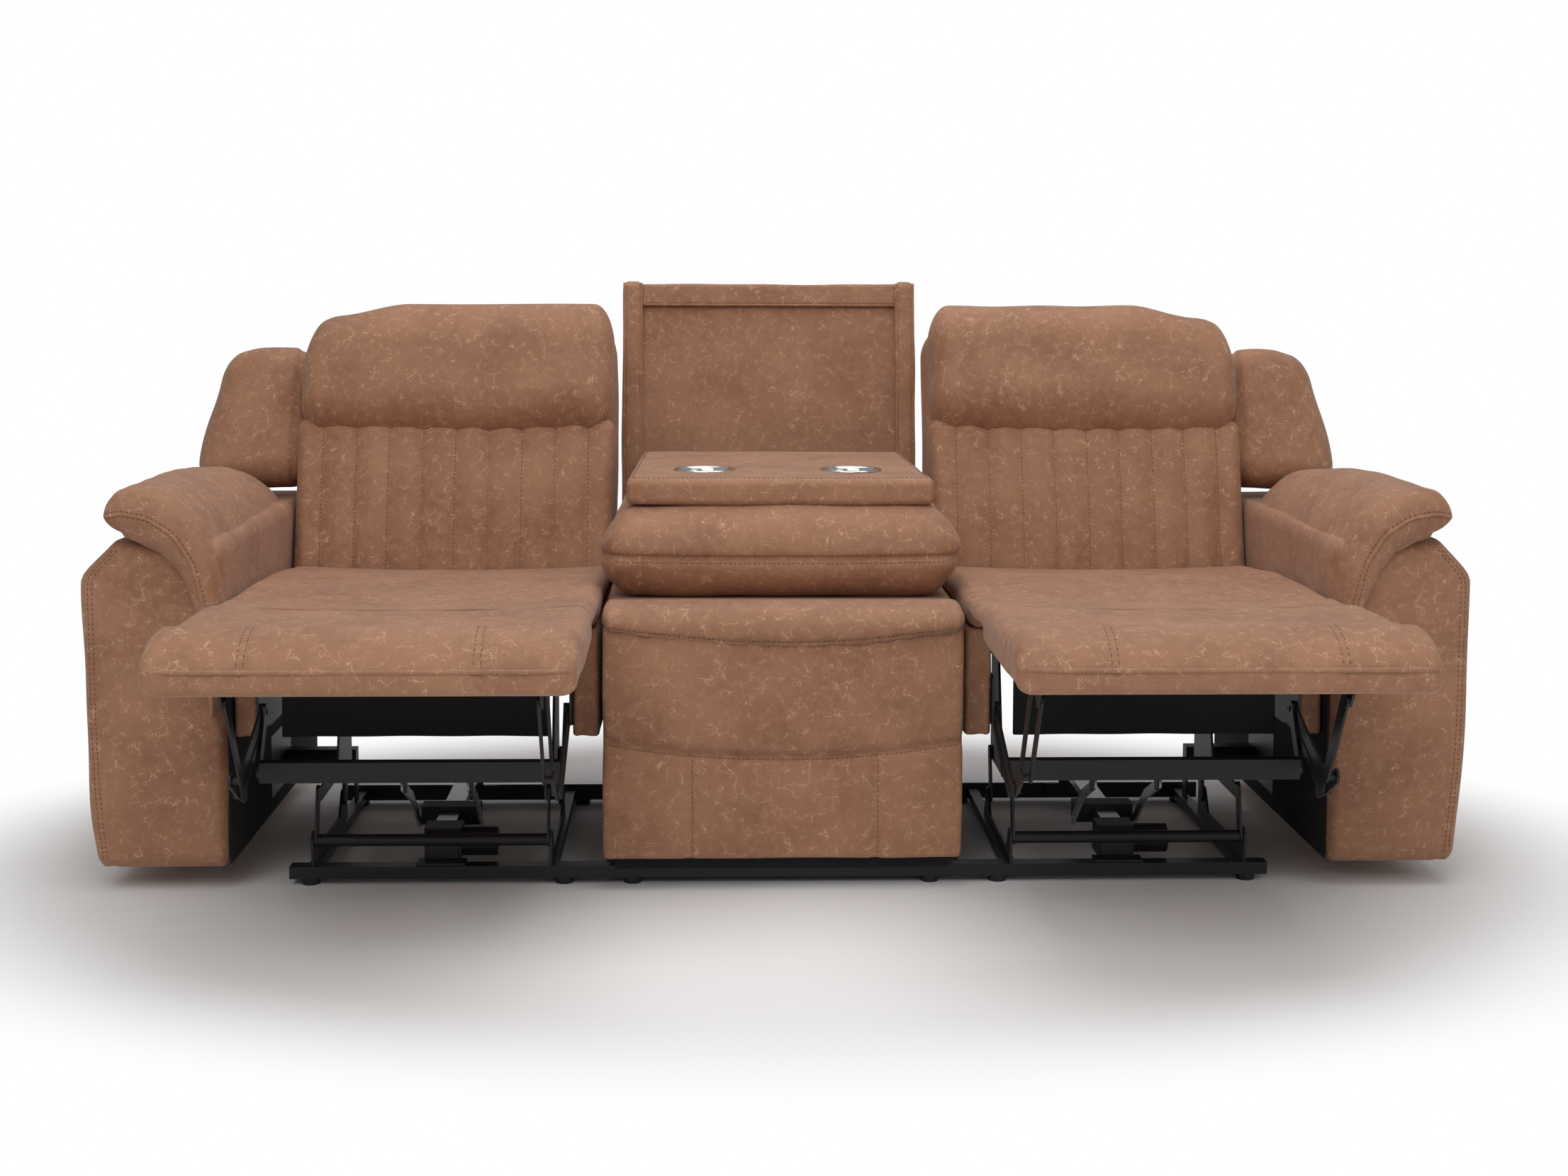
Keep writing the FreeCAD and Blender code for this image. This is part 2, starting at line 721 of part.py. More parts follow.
def seat_side_plates():
    """Steel plates of the moving seat: hangers on the swing links, and the plates that carry the footrest."""
    pieces = []
    for side in SIDES:
        swing = base_layer(side, 1)
        hanger = base_layer(side, 2)
        rail = panel(side + "_hanger", [
            ("front_swing_y + hanger_dy - 14", "hanger_z - 12"),
            ("rear_swing_y + hanger_dy + 14", "hanger_z - 12"),
            ("rear_swing_y + hanger_dy + 14", "deck_z"),
            ("rear_swing_y - 50", "deck_z"),
            ("rear_swing_y - 110", "hanger_z + 10"),
            ("front_swing_y + hanger_dy - 14", "hanger_z + 10"),
        ], hanger)
        parts = [rail]
        for which, y in SWINGS.items():
            parts.append(rod(f"{side}_{which}_hanger_pin", span(hanger, swing), f"{y} + hanger_dy",
                             "hanger_z", "pin_radius"))
        plate = layer(side, 0)
        wall = panel(side + "_seat_plate", [
            ("seat_panel_y - 20", "rear_pivot_z - 22"),
            ("seat_panel_y + 80", "rear_pivot_z - 40"),
            ("rear_swing_y", "rear_pivot_z - 40"),
            ("recline_y - 30", "recline_z - 34"),
            ("recline_y + recline_eye / 2", "recline_z - recline_eye"),
            ("recline_y + recline_eye", "recline_z - recline_eye / 2"),
            ("recline_y + recline_eye", "recline_z + recline_eye / 2"),
            ("recline_y + recline_eye / 2", "recline_z + recline_eye"),
            ("recline_y - recline_eye", "recline_z + recline_eye"),
            ("recline_y - 60", "deck_z"),
            ("seat_panel_y - 20", "deck_z"),
        ], plate)
        arm = layer(side, 1)
        recline_pin = rod(side + "_recline_pin", span(plate, arm), *RECLINE, "pin_radius")
        rear_pin = rod(side + "_rear_pin", span(plate, arm), *REAR_PIVOT, "pin_radius")
        parallel_pin = flat_sided(side + "_parallel_pin", span(plate, arm), *PARALLEL_PIVOT, "pin_radius")
        pieces.append(fuse(side + "_hanger_weldment", parts))
        pieces.append(fuse(side + "_seat_weldment", [wall, recline_pin, rear_pin, parallel_pin]))
    keep_pair("seat_side_plates", group("seat_side_plates", pieces))


# Footrest linkage

def rear_footrest_links():
    """Rear links with cranks, joined by the drive bar."""
    pieces = []
    crank_faces = {}
    for side in SIDES:
        x = layer(side, 1)
        crank_x = layer(side, 2)
        link = strip(side + "_rear_link", REAR_PIVOT, KNEE, "link_half + 2", x)
        boss = rod(side + "_rear_boss", span(x, crank_x), *REAR_PIVOT, "eye_radius + 1")
        crank = strip(side + "_crank", REAR_PIVOT, BAR, "eye_radius", crank_x)
        body = fuse(side + "_rear_link_blank", [link, boss, crank])
        body = with_holes(side + "_rear_link_bored", body, [REAR_PIVOT, KNEE], HOLE, span(x, crank_x))
        pieces.append(body)
        crank_faces[side] = crank_x
    pieces.append(box("drive_bar", (crank_faces["inner"][1], crank_faces["outer"][0]),
                      ("bar_y - bar_depth / 2", "bar_y + bar_depth / 2"),
                      ("bar_z - bar_height / 2", "bar_z + bar_height / 2")))
    for side, sign in SIDES.items():
        middle = f"motor_x + {sign} * strap_half"
        lug_x = (f"{middle} - plate / 2 - plate_gap - plate", f"{middle} - plate / 2 - plate_gap")
        pieces.append(strip(side + "_strap_lug", BAR, LUG, "eye_radius - 2", lug_x))
        pin_x = (lug_x[1], f"{middle} + plate / 2")
        pieces.append(rod(side + "_strap_pin", pin_x, *LUG, "pin_radius"))
    keep_pair("rear_footrest_links", fuse("rear_footrest_links", pieces))


def parallel_links():
    pieces = []
    for side in SIDES:
        x = layer(side, 1)
        link = strip(side + "_parallel", PARALLEL_PIVOT, PARALLEL_KNEE, "link_half", x)
        spots = [PARALLEL_PIVOT, PARALLEL_KNEE]
        pieces.append(with_holes(side + "_parallel_link", link, spots, HOLE, x))
    keep_pair("parallel_links", group("parallel_links", pieces))


def mid_brackets():
    """Three-eyed plates between the rear and the front links; their pins stand in the links' eyes."""
    pieces = []
    for side in SIDES:
        x = layer(side, 2)
        long_arm = strip(side + "_mid_long", SUPPORT_KNEE, KNEE, "eye_radius", x)
        short_arm = strip(side + "_mid_short", KNEE, PARALLEL_KNEE, "eye_radius", x)
        knee_pin = rod(side + "_knee_pin", span(layer(side, 1), layer(side, 3)), *KNEE, "pin_radius")
        parallel_pin = flat_sided(side + "_parallel_knee_pin", span(layer(side, 1), x), *PARALLEL_KNEE, "pin_radius")
        support_pin = flat_sided(side + "_support_pin", span(x, layer(side, 5)), *SUPPORT_KNEE, "pin_radius")
        pieces.append(fuse(side + "_mid", [long_arm, short_arm, knee_pin, parallel_pin, support_pin]))
    keep_pair("mid_brackets", group("mid_brackets", pieces))


def front_footrest_links():
    pieces = []
    for side in SIDES:
        x = layer(side, 3)
        link = strip(side + "_front", KNEE, EYE, "link_half", x)
        pieces.append(with_holes(side + "_front_link", link, [KNEE, EYE], HOLE, x))
    keep_pair("front_footrest_links", group("front_footrest_links", pieces))


def support_links():
    """Second front links; their upper eye stands beside the footrest bracket."""
    pieces = []
    for side in SIDES:
        x = layer(side, 5)
        link = strip(side + "_support", SUPPORT_KNEE, SUPPORT_EYE, "link_half", x)
        pieces.append(with_holes(side + "_support_link", link, [SUPPORT_KNEE], HOLE, x))
    keep_pair("support_links", group("support_links", pieces))


def footrest_brackets():
    pieces = []
    under = "footrest_top_z - footrest_thickness"
    for side, sign in SIDES.items():
        x = layer(side, 4)
        rear = "footrest_rear_y - 100"
        web = panel(side + "_bracket_web", [
            (rear, under),
            ("footrest_rear_y - 205", under),
            ("eye_y - support_eye_dy - link_half", "eye_z - support_eye_dz"),
            ("eye_y - support_eye_dy - link_half / 2", "eye_z - support_eye_dz - link_half"),
            ("eye_y - support_eye_dy + link_half / 2", "eye_z - support_eye_dz - link_half"),
            ("eye_y + link_half", "eye_z - link_half"),
        ], x)
        flange_x = (x[0], f"{x[1]} + 18") if sign < 0 else (f"{x[0]} - 18", x[1])
        flange = box(side + "_bracket_flange", flange_x, ("footrest_rear_y - 205", rear),
                     (f"{under} - plate", under))
        shank = rod(side + "_bracket_pin", span(x, layer(side, 3)), *EYE, "pin_radius")
        pieces.append(fuse(side + "_footrest_bracket", [web, flange, shank]))
    keep_pair("footrest_brackets", group("footrest_brackets", pieces))


# Soft seat parts

def section_at(y, x0, x1, z0, z1, bulge, corner):
    return pillow_section(lambda a, b: (a, y, b), (x0, z0), (x1, z1), bulge, corner)


def footrest_pad():
    """The legrest pad: flat under, crowned above, with its front third sloping down to a piped edge."""
    x0, x1 = S.bay_inner, S.bay_outer
    rear = S.footrest_rear_y
    top = S.footrest_top_z
    low = top - S.footrest_thickness
    length = S.footrest_length
    crown = S.footrest_crown
    stations = (
        (0.0, top - 4, low, 10, 2),
        (0.12, top, low, 14, 3),
        (0.45, top + 4, low, 18, 4),
        (0.62, top + crown * 0.75, low, 20, 4),
        (0.74, top + crown * 0.7, low, 20, 4),
        (0.88, top - 8, low, 20, 4),
        (0.97, top - 26, low, 12, 2),
        (1.0, low + 26, low + 4, 9, 1),
    )
    wires = []
    for share, high, floor_z, corner, swell in stations:
        inset = 0 if share < 0.97 else 6 * (share - 0.94) / 0.06
        bulge = (0, 0, 0, swell)
        wires.append(section_at(rear - length * share, x0 + inset, x1 - inset, floor_z, high, bulge, corner))
    keep_soft("footrest_pad", loft(wires))


def keep_soft(name, shape, sides=True):
    place = FreeCAD.Placement(V(0, -S.y_mid, 0), FreeCAD.Rotation())
    item = made(("right_" if sides else "") + name, shape, place)
    name_it(item, item.Name)
    PARTS.append(item)
    if sides:
        twin = mirrored("left_" + name, item)
        name_it(twin, "left_" + name)
        PARTS.append(twin)
    return item


def chaise_flap():
    """The padded flap that bridges the seat and the footrest and folds as the footrest closes."""
    x0, x1 = S.bay_inner, S.bay_outer
    front = S.footrest_rear_y + S.flap_gap
    rear = S.seat_front_y - S.flap_gap
    wires = []
    for y, high in ((front, S.footrest_top_z - 4), ((front + rear) / 2, S.footrest_top_z - 4), (rear, S.seat_top_z + 10)):
        wires.append(section_at(y, x0, x1, S.nose_low_z, high, (0, 0, 0, 2), 9))
    keep_soft("chaise_flap", loft(wires))


def seat_cushion():
    """The seat cushion: a crowned slab with a nose over the front panel, on a core that fills the frame."""
    x0, x1 = S.bay_inner, S.bay_outer
    top = S.seat_top_z
    wires = []
    for y, high, low in (
        (S.seat_front_y, top + 9, S.nose_low_z),
        (S.seat_panel_y - 1, top + 4, S.nose_low_z),
    ):
        wires.append(section_at(y, x0, x1, low, high, (0, 0, 0, 4), 9))
    nose = loft(wires)
    wires = []
    for y, high in (
        (S.seat_panel_y - 1, top + 4),
        (S.seat_panel_y + 160, top - 6),
        (S.seat_rear_y - 140, top - 12),
        (S.seat_rear_y, top - 22),
    ):
        wires.append(section_at(y, x0, x1, S.seat_box_top_z + 1, high, (0, 0, 0, 6), 9))
    slab = loft(wires)
    core_x0 = S.seat_plate_mid_x - S.seat_plate_half + S.plate
    core_x1 = S.seat_plate_mid_x + S.seat_plate_half - S.plate
    core = Part.makeBox(core_x1 - core_x0, S.seat_rear_y - 20 - S.seat_panel_y - 8,
                        S.seat_box_top_z + 2 - S.deck_top_z,
                        V(core_x0, S.seat_panel_y + 8, S.deck_top_z))
    keep_soft("seat_cushion", nose.fuse([slab, core]).removeSplitter())


def seat_frame():
    """Side boxes, a deck between them and the black front panel."""
    inner_wall = "seat_plate_mid_x - seat_plate_half - plate / 2"
    outer_wall = "seat_plate_mid_x + seat_plate_half + plate / 2"
    height = ("seat_box_low_z", "seat_box_top_z")
    run = ("seat_panel_y", "seat_rear_y - 14")
    inner = box("inner_side_box", ("bay_inner", inner_wall), run, height)
    outer = box("outer_side_box", (outer_wall, "bay_outer"), run, height)
    clear_in = f"{inner_wall} + 6 * pitch + 2"
    clear_out = f"{outer_wall} - 6 * pitch - 2"
    deck = box("deck", (clear_in, clear_out), ("seat_panel_y", "seat_rear_y - 14"), ("deck_z", "deck_top_z"))
    rear_deck = box("rear_deck", (inner_wall, outer_wall), ("rear_swing_y - 60", "seat_rear_y - 14"),
                    ("deck_z", "deck_top_z"))
    apron = box("apron", (clear_in, clear_out), ("seat_panel_y", "seat_panel_y + 5"),
                ("seat_box_low_z", "deck_z"))
    keep_pair("seat_frame", fuse("seat_frame", [inner, outer, deck, rear_deck, apron]))


# Backs

def back_frame():
    """The outer shell of a back with its wing, built upright and leaned back."""
    x0, x1 = S.bay_inner, S.bay_outer
    front = S.cushion_depth + 1
    rear = S.back_depth
    wires = []
    for u, inset, depth in ((-120, 0, rear - 8), (60, 0, rear), (440, 2, rear), (S.back_height - 22, 8, rear - 14)):
        wires.append(pillow_section(lambda a, b: (a, b, u), (x0 + inset, front), (x1 - inset, depth),
                                    (0, 0, 0, 4), 12))
    shell = loft(wires)
    wires = []
    low, top = S.wing_low_u, S.wing_top_u
    reach = S.wing_reach
    for share, out, near, far in ((0.0, 1.0, 46, 158), (0.35, 0.94, 16, 168), (0.7, 0.8, 10, 164), (0.9, 0.66, 16, 156), (1.0, 0.48, 40, 132)):
        u = low + (top - low) * share
        wires.append(pillow_section(lambda a, b: (a, b, u), (x1 - 6, near), (x1 + reach * out, far),
                                    (0, 5, 5, 5), 30))
    wing = loft(wires)
    notch = Part.makeBox(x1 - x0 + 1, front + 1, S.back_height + 200, V(x0, -1, -100))
    wing = wing.cut(notch)
    return shell.fuse(wing).removeSplitter()


def shank(x0, x1, y, z, clearance=0.0):
    """A round pin across X, or with some clearance the hole for it with the same flats as the others."""
    if not clearance:
        return Part.makeCylinder(S.pin_radius, x1 - x0, V(x0, y, z), V(1, 0, 0))
    radius = (S.pin_radius + clearance) / math.cos(math.pi / PIN_FLATS)
    turns = [2 * math.pi * step / PIN_FLATS for step in range(PIN_FLATS)]
    ring = [(x0, y + radius * math.cos(turn), z + radius * math.sin(turn)) for turn in turns]
    return Part.Face(closed_wire(ring)).extrude(V(x1 - x0, 0, 0))


def hinge_arm(side):
    """One steel arm from the recline pivot up into the back, in the back's own upright coordinates."""
    lean = math.radians(S.back_lean)
    dy, dz = S.recline_y - S.back_y, S.recline_z - S.back_z
    depth = dy * math.cos(lean) - dz * math.sin(lean)
    height = dy * math.sin(lean) + dz * math.cos(lean)
    low, high = (worked(text) for text in layer(side, 1))
    eye = S.recline_eye
    front, rear = S.cushion_depth + 12, S.cushion_depth + 44
    wire = closed_wire([
        (low, depth - eye, height),
        arc((low, depth, height - eye), (low, depth + eye, height)),
        (low, rear, height + 60),
        (low, rear, height + 260),
        (low, front, height + 260),
        (low, front, height + 70),
    ])
    plate = Part.Face(wire).extrude(V(high - low, 0, 0))
    return plate.cut(shank(low - 1, high + 1, depth, height, S.pin_clearance))


def backs():
    arms = [hinge_arm(side) for side in SIDES]
    shell = back_frame()
    for arm_shape in arms:
        shell = shell.cut(arm_shape)
    keep_leaning("back_frame", shell, S.back_y, S.back_z, S.back_lean)
    keep_leaning("back_hinge_arms", Part.makeCompound(arms), S.back_y, S.back_z, S.back_lean)
    keep_leaning("back_cushions", Part.makeCompound([channel_cushion(), head_pillow()]),
                 S.back_y, S.back_z, S.back_lean)


def channel_cushion():
    """The lower back cushion: its front is sewn into upright channels, drawn in at the seams."""
    x0, x1 = S.bay_inner, S.bay_outer
    channels = 8
    margin = 48
    wires = []
    stations = ((-18, 18, 1), (60, 2, 5), (240, 4, 6), (S.head_seam_u - 3, 20, 3))
    for u, face, puff in stations:
        seams = [x0 + margin + (x1 - x0 - 2 * margin) * step / channels for step in range(channels + 1)]
        spots = [(x1 - 10, S.cushion_depth, u), (x0 + 10, S.cushion_depth, u)]
        spots.append(arc((x0 - 0.3 + 0, (S.cushion_depth + face) / 2, u), (x0 + 14, face + 6, u)))
        last = x0 + 14
        depth_last = face + 6
        for seam in seams:
            middle = (last + seam) / 2
            spots.append(arc((middle, min(face, depth_last) - puff, u), (seam, face + 4, u)))
            last = seam
            depth_last = face + 4
        spots.append(arc(((last + x1 - 14) / 2, face - puff, u), (x1 - 14, face + 6, u)))
        spots.append(arc((x1 + 0.3, (S.cushion_depth + face) / 2, u), (x1 - 10, S.cushion_depth, u)))
        wires.append(closed_wire(spots))
    return loft(wires)


def head_pillow():
    """The head pillow: a full roll that stands proud of the channels."""
    x0, x1 = S.bay_inner, S.bay_outer
    wires = []
    top = S.back_height
    low = S.head_seam_u
    for u, proud, inset in (
        (low, 6, 8), (low + 22, -S.pillow_proud * 0.75, 2), (low + 75, -S.pillow_proud, 0),
        (low + 150, -S.pillow_proud * 0.62, 0), (top - 26, 4, 4), (top - 4, 44, 14),
    ):
        rear = S.cushion_depth if u < top - 30 else S.cushion_depth - 4
        wires.append(pillow_section(lambda a, b: (a, b, u), (x0 + inset, proud), (x1 - inset, rear),
                                    (0, 0, 9, 0), 24))
    return loft(wires)


# Arms

def bow(drop, rise):
    """How far an arc has come in at half its rise, when it starts upright and comes in by drop in all."""
    radius = (drop * drop + rise * rise) / (2 * drop)
    return radius - math.sqrt(radius * radius - rise * rise / 4)


def arm_body():
    """The upholstered arm: a front outline run to the rear, its top following the pad and falling behind it."""
    inner = S.arm_inner
    outer = S.half_width
    low = S.arm_low_z
    top = S.arm_shoulder_z
    belly = low + S.arm_belly
    front = closed_wire([
        (inner, 0, low),
        (outer - S.arm_tuck, 0, low),
        arc((outer - bow(S.arm_tuck, belly - low), 0, (low + belly) / 2), (outer, 0, belly)),
        arc((outer - bow(22, top - belly), 0, (top + belly) / 2), (outer - 22, 0, top)),
        (inner + S.pad_skirt, 0, top),
        (inner + S.pad_skirt, 0, S.pad_drop_z),
        (inner, 0, S.pad_drop_z),
    ])
    run = Part.Face(front).extrude(V(0, S.arm_rear_y, 0))
    side = closed_wire([
        (inner - 1, 24, low - 1),
        (inner - 1, S.arm_rear_y, low - 1),
        (inner - 1, S.arm_rear_y, 400),
        (inner - 1, 760, 500),
        (inner - 1, S.pad_rear_y - 10, top - 60),
        (inner - 1, 350, top),
        (inner - 1, 24, top),
        arc((inner - 1, 2, 300), (inner - 1, 24, low - 1)),
    ])
    slab = Part.Face(side).extrude(V(outer - inner + 2, 0, 0))
    return run.common(slab)


def arm_pad_section(y, drop, swell, skirt_low):
    """The pad across the arm: a full crown, a tip over the outer side and a skirt down the inner side."""
    inner = S.arm_inner
    outer = S.half_width
    top = S.pad_top_z - drop
    shoulder = S.arm_shoulder_z - drop
    skirt = inner + S.pad_skirt
    return closed_wire([
        (skirt - 1, y, skirt_low),
        (skirt - 1, y, shoulder + 1),
        (outer - 40, y, shoulder + 1),
        arc((outer - 6 - swell, y, shoulder + 26), (outer - 12 - swell, y, shoulder + 62)),
        arc((outer - 70, y, top), (outer - 130, y, top - 12)),
        arc((inner + 22, y, top - 60), (inner, y, shoulder - 40)),
        (inner, y, skirt_low + 14),
        arc((inner + 5, y, skirt_low + 4), (skirt - 1, y, skirt_low)),
    ])


def arm_pad():
    sections = (
        (-18, 10, 22, S.pad_drop_z + 60),
        (0, 0, 8, S.pad_drop_z + 8),
        (60, 0, 0, S.pad_drop_z),
        (350, 0, 0, S.pad_drop_z + 40),
        (S.pad_rear_y - 10, 60, 0, S.pad_drop_z + 110),
    )
    return loft([arm_pad_section(*section) for section in sections])


def arms():
    body = arm_body()
    pad = arm_pad()
    body = body.cut(pad)
    centre_x = S.half_width
    recess = switch_slot(centre_x - 12, 16, S.rocker_radius + 0.6, S.rocker_half + 0.6)
    body = body.cut(recess)
    keep_soft("arm_body", body)
    keep_soft("arm_pad", pad)


def switch_slot(x, depth, radius, half):
    """A slot-shaped solid across X about the switch's middle."""
    wire = closed_wire([
        (x, S.switch_y - half + radius, S.switch_z - radius),
        (x, S.switch_y + half - radius, S.switch_z - radius),
        arc((x, S.switch_y + half, S.switch_z), (x, S.switch_y + half - radius, S.switch_z + radius), 6),
        (x, S.switch_y - half + radius, S.switch_z + radius),
        arc((x, S.switch_y - half, S.switch_z), (x, S.switch_y - half + radius, S.switch_z - radius), 6),
    ])
    return Part.Face(wire).extrude(V(depth, 0, 0))


def controls():
    """A switch plate with a rocker on the outer side of each arm, let into it to lie within its width."""
    outer = S.half_width
    plate = switch_slot(outer - 1.5, 1.5, S.switch_radius, S.switch_half)
    plate = plate.cut(switch_slot(outer - 3, 6, S.rocker_radius + 0.6, S.rocker_half + 0.6))
    return plate


# Centre seat

def centre_seat_frame():
    """Two side boards on the base rails, with a front board, a deck, a rear board and the plinth."""
    half = "centre_half - 6"
    board = "centre_board"
    seat_low = "centre_seat_z - 65"
    sides = []
    for name, sign in (("left", -1), ("right", 1)):
        bounds = (f"{half} - {board}", half) if sign > 0 else (f"-({half})", f"-({half}) + {board}")
        sides.append(panel(name + "_side_board", [
            ("fascia_y + 24", "plinth_top_z"),
            ("rear_rail_y + rail_depth", "plinth_top_z"),
            ("recess_y - (recess_z - plinth_top_z - 110) * tan(recess_lean)", "plinth_top_z + 110"),
            ("recess_y - 45 * tan(recess_lean)", "recess_z - 45"),
            ("fascia_y + 24", "recess_z - 45"),
        ], bounds))
    across = (f"-({half}) + {board}", f"({half}) - {board}")
    front = box("front_board", across, ("fascia_y + 24", f"fascia_y + 24 + {board}"), ("plinth_top_z", seat_low))
    deck = box("centre_deck", across, (f"fascia_y + 24 + {board}", "hinge_y - 60"),
               (f"{seat_low} - {board}", seat_low))
    rear = box("rear_board", across, ("rear_rail_y", f"rear_rail_y + {board}"),
               ("rail_low_z + angle_height + 3", f"{seat_low} - {board}"))
    plinth = box("plinth", ("-274", "274"), ("rail_y - 20", "rail_y + rail_depth + 10"),
                 ("rail_top_z", "plinth_top_z"))
    runner = box("rear_plinth", ("-274", "274"), ("rear_rail_y - 4", "rear_rail_y + 12"),
                 ("rail_low_z + angle_height", "plinth_top_z"))
    keep("centre_seat_frame", fuse("centre_seat_frame", sides + [front, deck, rear, plinth, runner]))


def centre_seat_cushion():
    half = S.centre_half
    low = S.centre_seat_z - 64
    wires = []
    for y, high, floor_z in (
        (S.fascia_y - 2, S.centre_seat_z - 8, S.centre_seam_z - 22),
        (S.fascia_y + 25, S.centre_seat_z + 14, S.centre_seam_z - 22),
        (S.fascia_y + 80, S.centre_seat_z + 4, low),
        (S.fascia_y + 140, S.centre_seat_z - 5, low),
        (S.hinge_y - 62, S.centre_seat_z - 5, low),
    ):
        wires.append(section_at(y, -half, half, floor_z, high, (0, 0, 0, 3), 12))
    shape = loft(wires)
    wall = S.centre_half - 6
    board_top = S.recess_z - 45
    for x in (wall - S.centre_board, -wall):
        slot = Part.makeBox(S.centre_board, S.hinge_y, 60, V(x, S.fascia_y + 24, board_top - 60))
        shape = shape.cut(slot)
    keep_soft("centre_seat_cushion", shape, sides=False)


def centre_front_panel():
    """The padded front of the middle seat: an upper panel over a lower fascia, split by a sewn crease."""
    half = S.centre_half
    wires = []
    y0, y1 = S.fascia_y, S.fascia_y + 24
    crease = 235
    low = S.fascia_low_z
    top = S.centre_seam_z - 24
    for z, front, corner in (
        (low, y0 + 8, 5), (low + 14, y0 + 1, 8), (crease - 16, y0, 8), (crease, y0 + 7, 5),
        (crease + 16, y0 + 1, 8), (top - 40, y0 - 3, 8), (top, y0 - 1, 8),
    ):
        wires.append(pillow_section(lambda a, b: (a, b, z), (-half, front), (half, y1), (0, 0, 3, 0), corner))
    keep_soft("centre_front_panel", loft(wires), sides=False)


# Console

def cup_spots():
    return [(-S.cup_spacing / 2, S.cup_y), (S.cup_spacing / 2, S.cup_y)]


def barrel(radius, x, y, low, high):
    """An upright round body drawn with flats."""
    turns = [2 * math.pi * step / ROUND_FLATS for step in range(ROUND_FLATS)]
    ring = [(x + radius * math.cos(turn), y + radius * math.sin(turn), low) for turn in turns]
    return Part.Face(closed_wire(ring)).extrude(V(0, 0, high - low))


def console_tray():
    """The padded tray board with two bores for the cup holders."""
    top, thick = S.tray_top_z, S.tray_thickness
    wires = []
    for y, width, high in (
        (S.tray_front_y, S.tray_front_width - 6, top - 4), (S.tray_front_y + 8, S.tray_front_width, top),
        (S.tray_rear_y - 8, S.tray_rear_width, top), (S.tray_rear_y, S.tray_rear_width - 6, top - 4),
    ):
        wires.append(section_at(y, -width / 2, width / 2, top - thick, high, (0, 0, 0, 0), 8))
    tray = loft(wires)
    for x, y in cup_spots():
        tray = tray.cut(barrel(S.cup_bore_radius + S.cup_wall + S.cup_clearance, x, y, top - thick - 5, top + 5))
    keep_soft("console_tray", tray, sides=False)


def cup_holders():
    """Pressed cups with a rolled rim that lies on the tray."""
    cups = []
    for x, y in cup_spots():
        bottom = S.tray_top_z - S.cup_depth
        wall = barrel(S.cup_bore_radius + S.cup_wall, x, y, bottom, S.tray_top_z)
        rim = barrel(S.cup_rim_radius, x, y, S.tray_top_z, S.tray_top_z + 3)
        inside = barrel(S.cup_bore_radius, x, y, bottom + S.cup_wall, S.tray_top_z + 5)
        cups.append(wall.fuse(rim).cut(inside).removeSplitter())
    keep_soft("cup_holders", Part.makeCompound(cups), sides=False)


def console_arm_shape(sign):
    """A hinge arm from the console's pivot to the tray's underside."""
    x = sign * 243 - 3
    under = S.tray_top_z - S.tray_thickness
    y, z, eye = S.hinge_y, S.hinge_z, 16
    wire = closed_wire([
        (x, y - eye, z),
        arc((x, y, z - eye), (x, y + eye, z)),
        (x, y + 40, under),
        (x, y - 100, under),
    ])
    return Part.Face(wire).extrude(V(6, 0, 0))


def console_arms():
    arms_made = []
    for sign in (-1, 1):
        shape = console_arm_shape(sign)
        near, far = sorted((sign * 246, sign * 254))
        arms_made.append(shape.fuse(shank(near, far, S.hinge_y, S.hinge_z)).removeSplitter())
    keep_soft("console_arms", Part.makeCompound(arms_made), sides=False)


def console_hinge_plates():
    """Fixed steel plates on the side boards that carry the console's pins."""
    plates = []
    foot = S.hinge_z - 90
    for sign in (-1, 1):
        x = sign * 250 - 3
        wire = closed_wire([
            (x, S.hinge_y - 17, S.hinge_z),
            (x, S.hinge_y - 17, foot - 40),
            (x, S.hinge_y + 60, foot - 40),
            (x, S.hinge_y + 60, foot),
            (x, S.hinge_y + 17, S.hinge_z),
            arc((x, S.hinge_y, S.hinge_z + 17), (x, S.hinge_y - 17, S.hinge_z)),
        ])
        shape = Part.Face(wire).extrude(V(6, 0, 0))
        shape = shape.cut(shank(x - 1, x + 7, S.hinge_y, S.hinge_z, S.pin_clearance))
        wall = S.centre_half - 6 - S.centre_board
        near = x + 6 if sign > 0 else -wall
        far = wall if sign > 0 else x
        ledge = Part.makeBox(far - near, 77, 30, V(near, S.hinge_y - 17, foot - 40))
        plates.append(shape.fuse(ledge).removeSplitter())
    keep_soft("console_hinge_plates", Part.makeCompound(plates), sides=False)


def console_cushion():
    """The folded middle back: a full pillow under the tray, narrow where the hinge stands."""
    low = S.centre_seat_z + 1
    top = S.tray_top_z - S.tray_thickness
    half = S.console_pad_width / 2
    front = S.console_front_y
    wires = []
    for y, inset, z0, z1, corner in (
        (front, 30, low + 44, top - 46, 14), (front + 12, 12, low + 18, top - 16, 26),
        (front + 45, 2, low + 3, top - 1, 34), (S.hinge_y - 160, 0, low, top - 1, 34),
        (S.hinge_y - 55, 6, low + 4, top - 1, 30),
    ):
        wires.append(section_at(y, -half + inset, half - inset, z0, z1, (5, 5, 0, 0), corner))
    body = loft(wires)
    tail = Part.makeBox(2 * 232, 92, top - 3 - low - 4, V(-232, S.hinge_y - 57, low + 4))
    body = body.fuse(tail)
    for x, y in cup_spots():
        bottom = S.tray_top_z - S.cup_depth - S.cup_clearance
        body = body.cut(barrel(S.cup_bore_radius + S.cup_wall + S.cup_clearance, x, y, bottom, top + 1))
    for sign in (-1, 1):
        body = body.cut(console_arm_shape(sign))
    keep_soft("console_cushion", body.removeSplitter(), sides=False)


